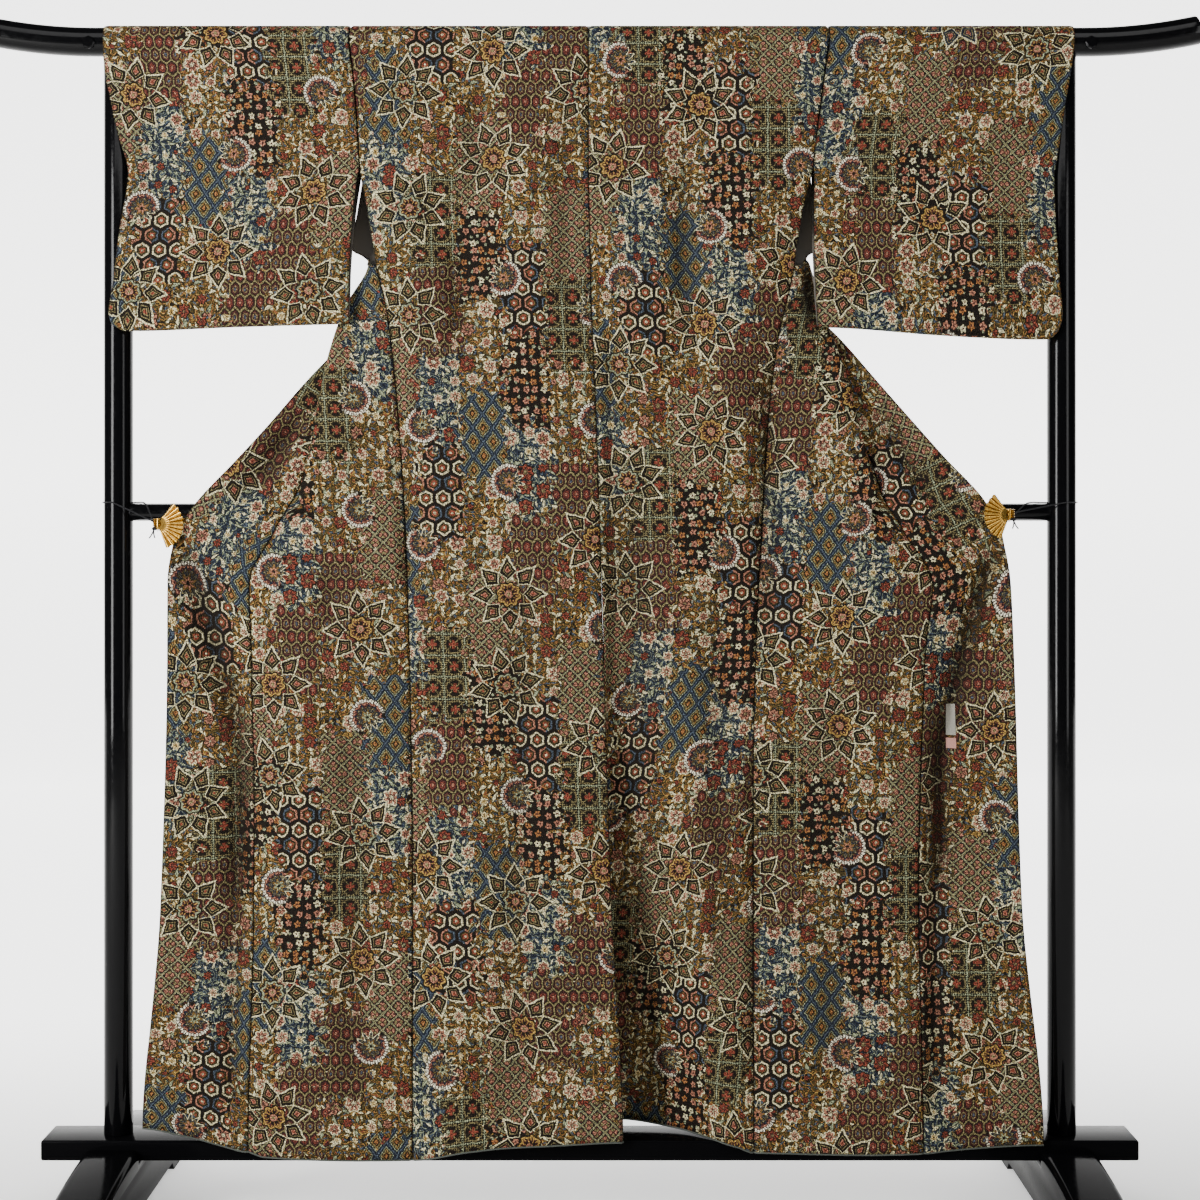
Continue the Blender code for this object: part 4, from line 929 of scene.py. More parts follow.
def star_flower(colour, far, angle, chances, here):
    """Eight pointed dark petals outlined in cream, round a scalloped heart."""
    rx, ry, rz = chances
    # petals are rhombs: measured along the petal's middle line and aside from it
    aside = abs((angle + rz).cell(math.pi / 4)) * far * (math.pi / 4)
    reach = far - 33.0
    edge = aside.scaled(1.32).op("ADD", (reach * 0.8).at_least(reach * -1.25))
    inside = edge.under(17.4, 0.8) * here
    dark = (edge + reach.over(2.0, 8.0).scaled(1.9)).under(15.9, 0.8) * inside
    scallop = ruffled(far, angle.scaled(8.0), 1.5)
    rays = abs(angle.cell(math.pi / 8)).under(0.16, 0.12) * scallop.under(12.0, 1.0) * here
    return printed(colour,
                   (CREAM, inside),
                   (tint(BROWN_BLACK, NAVY, rx.over(0.5)), dark),
                   (KHAKI, abs(edge - 9.2).under(0.8, 0.7) * inside),
                   (tint(PINK, KHAKI, ry.over(0.6)), edge.under(5.2, 0.9) * inside),
                   (RED, edge.under(3.2, 0.9) * inside),
                   (BROWN_BLACK, scallop.under(17.5, 1.2) * here),
                   (tint(GOLD, PALE_GREEN, ry.over(0.5)), scallop.under(15.2, 1.0) * here),
                   (tint(MAROON, OLIVE, rx.over(0.5)), scallop.under(12.6, 1.0) * here),
                   (GOLD, rays),
                   (BROWN_BLACK, scallop.under(8.2, 1.0) * here),
                   (tint(PINK, RED, rx.over(0.5)), far.under(5.4, 1.0) * here),
                   (KHAKI, far.under(2.4, 1.0) * here))


def round_flower(colour, far, angle, chances, here):
    """A scalloped round flower, part open, with white teeth round its rim and spokes round its heart."""
    rx, ry, rz = chances
    rim = ruffled(far, angle.scaled(22.0), 0.7)
    opened = abs((angle * (0.5 / math.pi) + rz).op("FRACT") - 0.5)
    shut = opened.under(0.36, 0.004) * here
    teeth = abs(angle.cell(0.16)).under(0.34, 0.1) * opened.under(0.3, 0.05)
    spokes = ruffled(far, angle * 11.0 + rz * 9.0, 4.5)
    heart = ruffled(far, angle * 7.0 + rz * 5.0, 2.2)
    return printed(colour,
                   (BROWN_BLACK, rim.under(25.5, 1.0) * shut),
                   (WHITE, rim.under(24.4, 1.0) * shut * teeth),
                   (MAROON, rim.under(20.6, 1.0) * shut),
                   (PINK, abs(rim - 18.2).under(0.9, 0.7) * shut),
                   (OLIVE, rim.under(14.0, 1.0) * shut),
                   (CREAM, spokes.under(17.0, 1.0) * opened.over(0.33, 0.02) * here),
                   (tint(RED, NAVY, rx.over(0.6)), spokes.under(14.6, 1.0) * here),
                   (KHAKI, abs(spokes - 9.5).under(0.9, 0.7) * here),
                   (OCHRE, heart.under(8.0, 1.0) * here),
                   (tint(PINK, PALE_GREEN, ry.over(0.5)), heart.under(5.0, 1.0) * here),
                   (BROWN_BLACK, far.under(2.4, 1.0) * here))


def strewn_flowers(colour, u, v):
    """Star flowers strewn on a wide lattice, and round flowers at some of the places where no star grows."""
    column = u.count(STAR_PITCH[0])
    shifted = v + column * (STAR_PITCH[1] * STAR_SHIFT)
    chance, spread = white_noise(pair(column, shifted.count(STAR_PITCH[1])), seed=5.0)
    chances = split(spread)
    x = (u.cell(STAR_PITCH[0]) + chances[0].scaled(-0.14, 0.07)) * STAR_PITCH[0]
    y = (shifted.cell(STAR_PITCH[1]) + chances[1].scaled(-0.3, 0.15)) * STAR_PITCH[1]
    far, angle = polar(x, y)
    colour = star_flower(colour, far, angle, chances, chance.under(STAR_CHANCE, 0.001))
    return round_flower(colour, far, angle, chances, chance.over(ROUND_CHANCE))


def silk_fields(flat, u, v):
    """The patchwork of the print: a mask for each field, by its name, over the ochre ground."""
    # fields meet along wandering borders, with a little of the ochre ground between them
    bu, bv, _ = split(noise_field(flat, scale=0.08, seed=2.0, colour=True))
    across = (bu.scaled(BORDER_WANDER, -BORDER_WANDER / 2) + u) * (1 / STRIP)
    strip = across.op("FLOOR")
    shift = strip.scaled(BLOCK_SHIFT).op("FRACT")
    block = (bv.scaled(BORDER_WANDER, -BORDER_WANDER / 2) + v) * (1 / BLOCK) + shift
    in_strip = abs(across.op("FRACT") - 0.5).under(BORDER_INSIDE[0], 0.01)
    within = in_strip * abs(block.op("FRACT") - 0.5).under(BORDER_INSIDE[1], 0.006)
    number = strip.op("FLOORED_MODULO", STRIPS) + block.op("FLOOR").op("FLOORED_MODULO", STRIPS) * STRIPS
    grounds = shader_node(Field.tree, "ValToRGB")
    grounds.color_ramp.interpolation = "CONSTANT"
    stops = grounds.color_ramp.elements
    for index, name in enumerate(LAYOUT):
        stop = stops[index] if index < 2 else stops.new(0.99)
        stop.position = index / len(LAYOUT)
        shade = GROUNDS.index(name) / len(GROUNDS)
        stop.color = (shade, shade, shade, 1.0)
    feed(grounds.inputs["Fac"], number.scaled(1 / STRIPS ** 2, 0.5 / STRIPS ** 2))
    chosen = Field(grounds.outputs["Color"]) * float(len(GROUNDS))
    return {name: chosen.op("COMPARE", float(index), 0.5) * within
            for index, name in enumerate(GROUNDS) if index > 0}


def silk_finish():
    """Printed silk crepe, with painted shade of its crinkle speckled over every colour, and painted shade in
    the seams and creases.
    """
    material = plain_finish("figured_silk", OCHRE, roughness=0.8)
    tree = material.node_tree
    Field.tree = tree
    shader = tree.nodes["Principled BSDF"]
    shader.inputs["Specular IOR Level"].default_value = 0.1
    bolt = shader_node(tree, "UVMap")
    bolt.uv_map = "bolt"
    scaled = shader_node(tree, "VectorMath")
    scaled.operation = "SCALE"
    scaled.inputs["Scale"].default_value = 1 / MM
    feed(scaled.inputs[0], bolt.outputs["UV"])
    flat = scaled.outputs[0]
    # threads wander a little, so that no line of the print is quite straight
    wander = shader_node(tree, "VectorMath")
    wander.operation = "MULTIPLY_ADD"
    wander.inputs[1].default_value = (THREAD_WANDER, THREAD_WANDER, 0.0)
    feed(wander.inputs[0], noise_field(flat, scale=0.16, seed=4.0, colour=True))
    feed(wander.inputs[2], flat)
    u, v, _ = split(wander.outputs[0])
    grain = noise_field(flat, scale=0.42, seed=7.0)
    swirl = noise_field(wander.outputs[0], scale=0.055, seed=11.0, detail=1.0)

    fields = silk_fields(flat, u, v)
    colour = stems(swirl, grain, fields["garden"])
    colour = leaves(colour, u, v, fields["garden"])
    colour = rosettes(colour, u, v, fields["garden"])
    colour = printed(colour,
                     (diamonds(u, v, grain), fields["diamonds"]),
                     (tortoiseshell(u, v), fields["hexagons"]),
                     (lozenges(u, v), fields["lozenges"]),
                     (long_net(u, v), fields["long_net"]),
                     (blossoms(u, v), fields["blossoms"]),
                     (quatrefoils(u, v), fields["quatrefoils"]))
    colour = strewn_flowers(colour, u, v)

    # painted shade: the crepe's crinkle is painted as dark speckle over every colour, from the same noise
    # that gives its relief
    crinkle = noise_field(flat, scale=0.6, seed=3.0).scaled(5.2, -1.5).at_least(0.12)
    painted_crinkle = shader_node(tree, "Mix")
    painted_crinkle.data_type = "RGBA"
    painted_crinkle.blend_type = "MULTIPLY"
    painted_crinkle.inputs[0].default_value = CREPE_PAINTED_SHADE
    feed(painted_crinkle.inputs[6], colour)
    feed(painted_crinkle.inputs[7], crinkle)
    # painted shade: the seam attribute darkens the turned-in edges, the creases and the hollow beside the
    # right sleeve toward brown-black
    seam = shader_node(tree, "Attribute")
    seam.attribute_name = "seam"
    feed(shader.inputs["Base Color"], tint(painted_crinkle.outputs[2], BROWN_BLACK, Field(seam.outputs["Fac"])))
    add_relief(material, crinkle.socket, strength=0.5, distance=0.0006)
    return material


figured_silk = silk_finish()
hem_silk = plain_finish("hem_silk", HEM_SILK, roughness=0.7)
lining_silk = plain_finish("lining_silk", LINING_SILK, roughness=0.7)

# The back panels: two lengths of the bolt, lined, and sewn together down the centre back with the allowances
# turned in. They lie over the rail at the shoulders; the right one falls in a deep fold beside the seam, and
# the lining's edge shows as a thin dark roll along the hem.
HEM_LEVEL = 100
HEM_FROM = 260
CLOTH_THICKNESS = 1.2
CLOTH_OVER_RAIL = 22.3
WRAP_STEPS = 6
SEAM_DRAW = -0.05
SEAM_ROLL = 3.2
ROLL_REACH = 2.0
LEVEL_FACING = 0.6
ROLL_COLUMNS = (1.5, 4.0)
HEM_ROLL_RADIUS = 1.3
HEM_ROLL_SHOWS = 0.3
HEM_ROLL_SIDES = 8
# Painted shade: how dark the turned-in edges are painted and how far in from the edge, and how much painted
# shade each mm of a soft fold's depth gives its crease
SEAM_PAINTED_SHADE = 0.9
SEAM_PAINTED_SHADE_REACH = 1.6
FOLD_PAINTED_SHADE = 0.04
SLANT_REACH = 130.0
UNDERARM = 1321.0
SLEEVE_JOIN = 1457.0
CURVE_STEPS = 10
BACK_COLUMNS = 36

# Plan sections of the left back, from the centre seam to the side
BACK_LEFT = dict(
    names=("height", "centre_x", "centre_y", "crest_x", "crest_y", "hollow_x", "hollow_y",
           "swell_x", "swell_y", "side_x", "side_y"),
    rows=((100, 46, -52, -60, -58, -130, -55, -190, -58, -244, -52),
          (440, 30, -50, -65, -54, -130, -52, -190, -54, -244, -46),
          (780, 19, -46, -70, -50, -140, -47, -200, -49, -249, -40),
          (950, 14, -42, -75, -46, -150, -43, -210, -44, -256, -34),
          (1100, 9, -38, -80, -42, -165, -38, -220, -40, -265, -28),
          (1220, 4, -34, -85, -38, -175, -30, -235, -35, -277, -22),
          (1270, 2, -32, -85, -36, -175, -27, -240, -32, -285, -18),
          (UNDERARM, 1, -30, -85, -34, -172, -25, -250, -29, -298, -14),
          (1350, 0, -29.5, -85, -33, -170, -24, -252, -29, -302, -18),
          (1400, -1, -28.5, -85, -31, -168, -23, -258, -28, -310, -23),
          (SLEEVE_JOIN, -2, -27, -85, -29, -165, -22.5, -260, -27, -320, -24.5),
          (1540, -2, -25, -85, -26, -165, -22.6, -260, -25, -325, -24),
          (1600, -2, -22.8, -85, -23, -165, -22.4, -260, -23, -331, -23),
          (RAIL_HEIGHT, -2, -22.3, -85, -22.3, -165, -22.3, -260, -22.3, -335, -22.3)))

# Plan sections of the right back: a deep fold runs down beside the centre seam
BACK_RIGHT = dict(
    names=("height", "centre_x", "centre_y", "dip_x", "dip_y", "rise_x", "rise_y",
           "swell_x", "swell_y", "side_x", "side_y"),
    rows=((100, 46, -52, 34, 32, 120, 8, 190, -50, 226, -48),
          (260, 38, -50, 28, 22, 110, -2, 175, -50, 226, -46),
          (440, 30, -49, 24, 8, 95, -18, 160, -50, 226, -45),
          (620, 22, -47, 24, -14, 85, -34, 150, -49, 226, -42),
          (780, 19, -45, 34, -31, 85, -43, 155, -47, 229, -40),
          (950, 14, -42, 55, -39, 105, -44, 170, -43, 238, -34),
          (1100, 9, -38, 70, -40, 130, -38, 190, -40, 248, -28),
          (1220, 4, -34, 80, -36, 140, -29, 205, -35, 262, -22),
          (1270, 2, -32, 80, -35, 140, -27, 210, -32, 274, -18),
          (UNDERARM, 1, -30, 80, -33, 140, -25, 215, -29, 285, -14),
          (1350, 0, -29.5, 80, -32, 135, -25, 220, -29, 289, -18),
          (1400, -1, -28.5, 80, -30, 135, -24, 225, -28, 297, -23),
          (SLEEVE_JOIN, -2, -27, 80, -28, 135, -23, 240, -27, 310, -24.5),
          (1540, -2, -25, 80, -25.5, 135, -22.6, 250, -25, 320, -24),
          (1600, -2, -22.8, 80, -23, 135, -22.4, 250, -23, 328, -23),
          (RAIL_HEIGHT, -2, -22.3, 80, -22.3, 135, -22.3, 250, -22.3, 333, -22.3)))

# Height of the hem along each panel, from its seam nearer the centre outward
HEM_NAMES = ("share", "height")
HEM = {
    "back_left": dict(names=HEM_NAMES, rows=((0.0, 111), (0.36, 108), (0.75, 99), (1.0, 87))),
    "back_right": dict(names=HEM_NAMES,
                       rows=((0.0, 111), (0.3, 119), (0.6, 114), (0.82, 110.5), (0.92, 105), (1.0, 96))),
    "front_left": dict(names=HEM_NAMES, rows=((0.0, 87), (0.2, 87), (0.9, 92), (1.0, 98))),
    "front_right": dict(names=HEM_NAMES, rows=((0.0, 96), (0.5, 95), (1.0, 96))),
    "okumi_left": dict(names=HEM_NAMES, rows=((0.0, 98), (0.6, 117), (1.0, 129))),
    "okumi_right": dict(names=HEM_NAMES, rows=((0.0, 96), (1.0, 106)))}

# Soft folds pressed into the hanging cloth: places (x, height) down the fold, its half width and its depth,
# which also sets how much painted shade its crease gets
SOFT_FOLDS = (
    (((-572, 960), (-520, 800), (-478, 640), (-490, 420)), 17.0, 17.0),
    (((-490, 500), (-496, 120)), 13.0, 10.0),
    (((572, 960), (526, 800), (484, 640), (486, 440)), 17.0, 19.0),
    (((480, 520), (474, 120)), 14.0, 9.0),
    (((302, 1350), (316, 1225)), 10.0, 9.0),
    (((-385, 1140), (-500, 965)), 18.0, 13.0),
    (((380, 1160), (492, 965)), 18.0, 12.0),
    (((28, 1250), (32, 790)), 10.0, 8.0),
    (((58, 1030), (72, 600), (95, 110)), 24.0, 8.0),
    (((222, 660), (224, 170)), 8.0, 6.5),
    (((250, 1210), (246, 790)), 16.0, 12.0),
    (((-160, 1590), (-164, 1400)), 16.0, 9.0),
    (((-180, 1370), (-182, 1190)), 16.0, 9.5),
    (((130, 1520), (132, 1190)), 15.0, 9.5),
    (((-34, 1590), (-36, 1250)), 13.0, 7.0),
    (((-275, 1110), (-330, 1060), (-372, 1030)), 13.0, 6.0),
    (((-358, 930), (-360, 790)), 13.0, 7.0),
    (((-254, 1090), (-252, 840)), 9.0, 6.0),
    (((-90, 900), (-110, 130)), 24.0, 7.0),
    (((170, 900), (180, 300)), 20.0, 6.0),
    (((330, 760), (335, 130)), 21.0, 7.0),
    (((-330, 700), (-325, 130)), 22.0, 7.0),
    (((-612, 1600), (-616, 1290)), 14.0, 2.6),
    (((-470, 1500), (-480, 1270)), 26.0, 1.6),
    (((470, 1540), (462, 1270)), 24.0, 1.6),
    (((575, 1560), (580, 1260)), 14.0, 1.6))

# Painted shade in the hollow of the right front between the body and the sleeve: its darkness is painted into
# the colour in place of a depth
PAINTED_HOLLOW_SHADE = ((((299, 1352), (303, 1285), (308, 1200)), 10.0, 0.85),)
FOLD_FADE = 70.0
PRESS_FACING = 2.5
STILL_ABOVE = 1630.0
STILL_FADE = 60.0

# Faint unevenness of cloth that has been worn: height, width, length and a seed of its own
SOFT_WAVES = ((1.3, 75, 190, 3.0), (0.45, 24, 45, 9.0))


def row_at(table, height):
    """The table's named values at one height, on a curve that never overshoots its rows."""
    names = table["names"]
    rows = table["rows"]
    keys = [row[0] for row in rows]
    place = min(max(height, keys[0]), keys[-1])
    low = 0
    while low < len(keys) - 2 and place > keys[low + 1]:
        low += 1
    span = keys[low + 1] - keys[low]
    t = (place - keys[low]) / span
    values = {names[0]: height}
    for column in range(1, len(names)):
        slopes = [steady_slope(rows, column, index) for index in (low, low + 1)]
        start = rows[low][column]
        end = rows[low + 1][column]
        values[names[column]] = (start * (1 + 2 * t) * (1 - t) ** 2 + slopes[0] * span * t * (1 - t) ** 2
                                 + end * t * t * (3 - 2 * t) + slopes[1] * span * t * t * (t - 1))
    return SimpleNamespace(**values)


def steady_slope(rows, column, index):
    if index == 0 or index == len(rows) - 1:
        return 0.0
    before = (rows[index][column] - rows[index - 1][column]) / (rows[index][0] - rows[index - 1][0])
    after = (rows[index + 1][column] - rows[index][column]) / (rows[index + 1][0] - rows[index][0])
    if before * after <= 0:
        return 0.0
    return 2 * before * after / (before + after)


def smooth_plan(points, steps=CURVE_STEPS):
    """A centripetal curve through plan points, as many short straight steps."""
    chain = [points[0] * 2 - points[1], *points, points[-1] * 2 - points[-2]]
    curve = [points[0].copy()]
    for index in range(1, len(chain) - 2):
        p0, p1, p2, p3 = chain[index - 1:index + 3]
        t1 = math.sqrt((p1 - p0).length)
        t2 = t1 + math.sqrt((p2 - p1).length)
        t3 = t2 + math.sqrt((p3 - p2).length)
        for step in range(1, steps + 1):
            t = t1 + (t2 - t1) * step / steps
            a1 = p0 * ((t1 - t) / t1) + p1 * (t / t1)
            a2 = p1 * ((t2 - t) / (t2 - t1)) + p2 * ((t - t1) / (t2 - t1))
            a3 = p2 * ((t3 - t) / (t3 - t2)) + p3 * ((t - t2) / (t3 - t2))
            b1 = a1 * ((t2 - t) / t2) + a2 * (t / t2)
            b2 = a2 * ((t3 - t) / (t3 - t1)) + a3 * ((t - t1) / (t3 - t1))
            curve.append(b1 * ((t2 - t) / (t2 - t1)) + b2 * ((t - t1) / (t2 - t1)))
    return curve


def run_lengths(points):
    """Distance of each point of a run from its first."""
    lengths = [0.0]
    for a, b in zip(points, points[1:]):
        lengths.append(lengths[-1] + (b - a).length)
    return lengths


def points_at(curve, distances):
    """Points at rising distances along a curve of short steps."""
    lengths = run_lengths(curve)
    found = []
    index = 0
    for distance in distances:
        while index < len(curve) - 2 and lengths[index + 1] < distance:
            index += 1
        span = lengths[index + 1] - lengths[index]
        found.append(curve[index].lerp(curve[index + 1], (distance - lengths[index]) / span if span else 0.0))
    return found


def column_distances(start, end, count, rolled_start=False, rolled_end=False):
    """Even distances between two places on a curve, with narrow columns at a rolled edge."""
    first = [start + near for near in ROLL_COLUMNS] if rolled_start else []
    final = [end - near for near in reversed(ROLL_COLUMNS)] if rolled_end else []
    inner_start = first[-1] if first else start
    inner_end = final[0] if final else end
    even = [inner_start + (inner_end - inner_start) * step / count for step in range(1, count)]
    return [start, *first, *even, *final, end]


def back_plan(table, height):
    row = row_at(table, height)
    names = table["names"]
    return smooth_plan([Vector((getattr(row, names[i]), getattr(row, names[i + 1])))
                        for i in range(1, len(names), 2)])


def body_levels(top):
    """Heights of a panel's rows, closer together at the clips, at the armholes and round the neck."""
    levels = set(range(HEM_LEVEL, 1636, 12)) | set(range(950, 1006, 5)) | set(range(1321, 1352, 4))
    levels |= set(range(1402, 1460, 6)) | set(range(1545, 1601, 6)) | {HEM_FROM, int(RAIL_HEIGHT)}
    return [level for level in sorted(levels) if level <= top]


def lay_rows(panel, levels, plan_at):
    """Rows of a panel from plan points at each level; the lowest rows close up toward the panel's own hem."""
    rows = []
    for level in levels:
        plan = plan_at(level)
        lengths = run_lengths(plan)
        row = []
        for point, length in zip(plan, lengths):
            z = float(level)
            if level < HEM_FROM:
                hem = row_at(HEM[panel], length / lengths[-1]).height
                z = HEM_FROM - (HEM_FROM - level) * (HEM_FROM - hem) / (HEM_FROM - HEM_LEVEL)
            row.append(Vector((point.x, point.y, z)))
        rows.append(row)
    return rows


def turned_round(rows):
    """The same rows with their points in the other order, so that the cloth's face still looks outward."""
    return [list(reversed(row)) for row in rows]


def wrap_rows(row, direction):
    """Rows that carry the row at the rail's middle up over the rail to its top."""
    rows = []
    for step in range(1, WRAP_STEPS + 1):
        turn = math.radians(90.0 * step / WRAP_STEPS)
        y = direction * CLOTH_OVER_RAIL * math.cos(turn)
        z = RAIL_HEIGHT + CLOTH_OVER_RAIL * math.sin(turn)
        rows.append([Vector((p.x, y, z)) for p in row])
    return rows


def fold_push(x, z, folds=SOFT_FOLDS):
    """How far the soft folds press the cloth in at one place."""
    push = 0.0
    for line, half_width, depth in folds:
        top = line[0][1]
        low = line[-1][1]
        fade = min((top - z) / FOLD_FADE, (z - low) / FOLD_FADE, 1.0)
        if fade <= 0:
            continue
        for (x0, z0), (x1, z1) in zip(line, line[1:]):
            if z1 <= z <= z0:
                middle = x0 + (x1 - x0) * (z0 - z) / (z0 - z1)
                fade = fade * fade * (3 - 2 * fade)
                push += depth * fade * math.exp(-((x - middle) / half_width) ** 2)
                break
    return push


def facing(rows, r, c):
    """The outward normal of a grid of points at one of them."""
    up = rows[min(r + 1, len(rows) - 1)][c] - rows[max(r - 1, 0)][c]
    along = rows[r][min(c + 1, len(rows[0]) - 1)] - rows[r][max(c - 1, 0)]
    return along.cross(up).normalized()


def relaxed(rows, every_layer=False):
    """Rows with the soft folds and a faint unevenness pressed in; the cloth on the rail stays still."""
    moved = []
    for r, row in enumerate(rows):
        line = []
        for c, point in enumerate(row):
            share = 1.0 if every_layer else min(max(-PRESS_FACING * facing(rows, r, c).y, 0.0), 1.0)
            hang = min(max((STILL_ABOVE - point.z) / STILL_FADE, 0.0), 1.0)
            wave = 0.0
            for height, width, length, seed in SOFT_WAVES:
                wave += height * noise.noise(Vector((point.x / width, point.z / length, seed)))
            push = (fold_push(point.x, point.z) * share + wave) * hang
            line.append(point + Vector((0.0, push, 0.0)))
        moved.append(line)
    return moved


def rolled(rows, roll_first, roll_last):
    """Rows whose two side edges roll inward, as an edge does where the allowance is turned in."""
    moved = []
    for r, row in enumerate(rows):
        from_first = run_lengths(row)
        line = []
        for c, point in enumerate(row):
            near_first = from_first[c]
            near_last = from_first[-1] - from_first[c]
            depth = roll_first * math.exp(-(near_first / ROLL_REACH) ** 2)
            depth += roll_last * math.exp(-(near_last / ROLL_REACH) ** 2)
            inward = facing(rows, r, c)
            if abs(inward.y) > LEVEL_FACING:
                inward = Vector((0.0, math.copysign(1.0, inward.y), 0.0))
            line.append(point - inward * depth if depth > 0.01 else point.copy())
        line[0] += (line[1] - line[0]).normalized() * SEAM_DRAW
        line[-1] += (line[-2] - line[-1]).normalized() * SEAM_DRAW
        moved.append(line)
    return moved


def cloth_places(rows, grain, offset, slanted=False):
    """Where each point lies on the bolt, in metres: across from the grain column, and up along it."""
    top = len(rows) - 1
    spine = [row[grain] for row in rows]
    along = run_lengths(spine)
    slants = []
    for r in range(len(rows)):
        run = spine[min(r + 1, top)] - spine[max(r - 1, 0)]
        slants.append(math.atan2(run.x, run.z) if slanted and run.z > 0 else 0.0)
    places = []
    for r, row in enumerate(rows):
        weights = [math.exp(-((far - along[r]) / SLANT_REACH) ** 2) for far in along]
        slant = sum(w * one for w, one in zip(weights, slants)) / sum(weights)
        across = run_lengths(row)
        places.append([((length - across[grain]) * math.cos(slant) * MM + offset[0],
                        (along[r] - along[top] + (length - across[grain]) * math.sin(slant)) * MM + offset[1])
                       for length in across])
    return places


def cloth_sheet(name, node, rows, places, thickness=CLOTH_THICKNESS, shut=False, lined=True):
    """A sheet through rows of points, with its place on the bolt as its UV, the lining on its inner face, and
    painted shade along its edges and creases in its seam attribute.
    """
    bm = bmesh.new()
    columns = len(rows[0])
    bmesh.ops.create_grid(bm, x_segments=columns - 1, y_segments=len(rows) - 1, size=1.0)
    bm.verts.index_update()
    bolt = bm.loops.layers.uv.new("bolt")
    for face in bm.faces:
        face.smooth = True
        for loop in face.loops:
            r, c = divmod(loop.vert.index, columns)
            loop[bolt].uv = places[r][c]
    for vert in bm.verts:
        r, c = divmod(vert.index, columns)
        vert.co = rows[r][c] * MM
    # painted shade: the seam attribute darkens the print along the turned-in edges, in the soft folds'
    # creases and in the hollow beside the right sleeve
    seam = bm.verts.layers.float.new("seam")
    for vert in bm.verts:
        r, c = divmod(vert.index, columns)
        run = run_lengths(rows[r])
        near = min(run[c], run[-1] - run[c])
        x, _, z = rows[r][c]
        painted_crease_shade = FOLD_PAINTED_SHADE * fold_push(x, z) + fold_push(x, z, PAINTED_HOLLOW_SHADE)
        vert[seam] = min(SEAM_PAINTED_SHADE * math.exp(-(near / SEAM_PAINTED_SHADE_REACH) ** 2) + painted_crease_shade, SEAM_PAINTED_SHADE)
    if shut:
        bmesh.ops.remove_doubles(bm, verts=bm.verts, dist=0.01 * MM)
    piece = object_from(bm, name, [figured_silk, lining_silk])
    wall = piece.modifiers.new("lining", "SOLIDIFY")
    wall.thickness = thickness * MM
    wall.offset = -1.0
    wall.use_even_offset = False
    wall.material_offset = int(lined)
    dress(piece, node)
    return piece


def make_hem_edging(name, rows):
    """The lining's edge shows as a thin dark roll along the hem."""
    inward = Vector((0.0, HEM_ROLL_RADIUS * 0.5, -HEM_ROLL_SHOWS))
    stations = [(point + inward, HEM_ROLL_RADIUS) for point in rows[0]]
    dress(sweep_round(f"hem_edging_{name}", stations, HEM_ROLL_SIDES, hem_silk))


def make_back(side, table, offset):
    levels = body_levels(RAIL_HEIGHT)

    def plan_at(level):
        curve = back_plan(table, level)
        length = run_lengths(curve)[-1]
        return points_at(curve, column_distances(0.0, length, BACK_COLUMNS, True, True))

    rows = lay_rows(f"back_{side}", levels, plan_at)
    rows += wrap_rows(rows[-1], -1.0)
    if side == "left":
        rows = turned_round(rows)
    places = cloth_places(rows, -1 if side == "left" else 0, offset)
    rows = rolled(relaxed(rows), SEAM_ROLL, SEAM_ROLL)
    make_hem_edging(f"back_{side}", rows)
    piece = cloth_sheet(f"back_panel_{side}", f"back_{side}", rows, places)


make_back("left", BACK_LEFT, offset=(0.31, 0.05))
make_back("right", BACK_RIGHT, offset=(0.02, 0.43))

# The fronts and their overlap panels: a front is sewn to the back at its side seam, and the overlap panel to
# the front's edge, narrowing to a tip under the collar. They are opened out to the sides; above each clip the
# slack cloth doubles back on itself. A small blank paper label in two parts is stuck on the right one.
EDGE_ROLL = 0.7
OKUMI_TIP_HEIGHT = 1430.0
FRONT_STOPS = (0, 2, 3, 4, 6, 7, 8, 9)
FRONT_SPANS = (11, 5, 5, 8, 5, 5, 11)
OKUMI_STOPS = (9, 10, 11)
OKUMI_SPANS = (7, 9)
TURN_REACH = 7.0
TURN_SHARE = 0.3
LABEL_LEFT = 495.5
LABEL_WIDTH = 12.5
LABEL_LIFT = 0.7
LABEL_THICKNESS = 0.3
LABEL_GRID = 8
LABEL_PARTS = ((668.0, 711.0), (650.0, 664.0))
LABEL_COLOURS = ((0.19, 0.178, 0.145), (0.3, 0.13, 0.095))

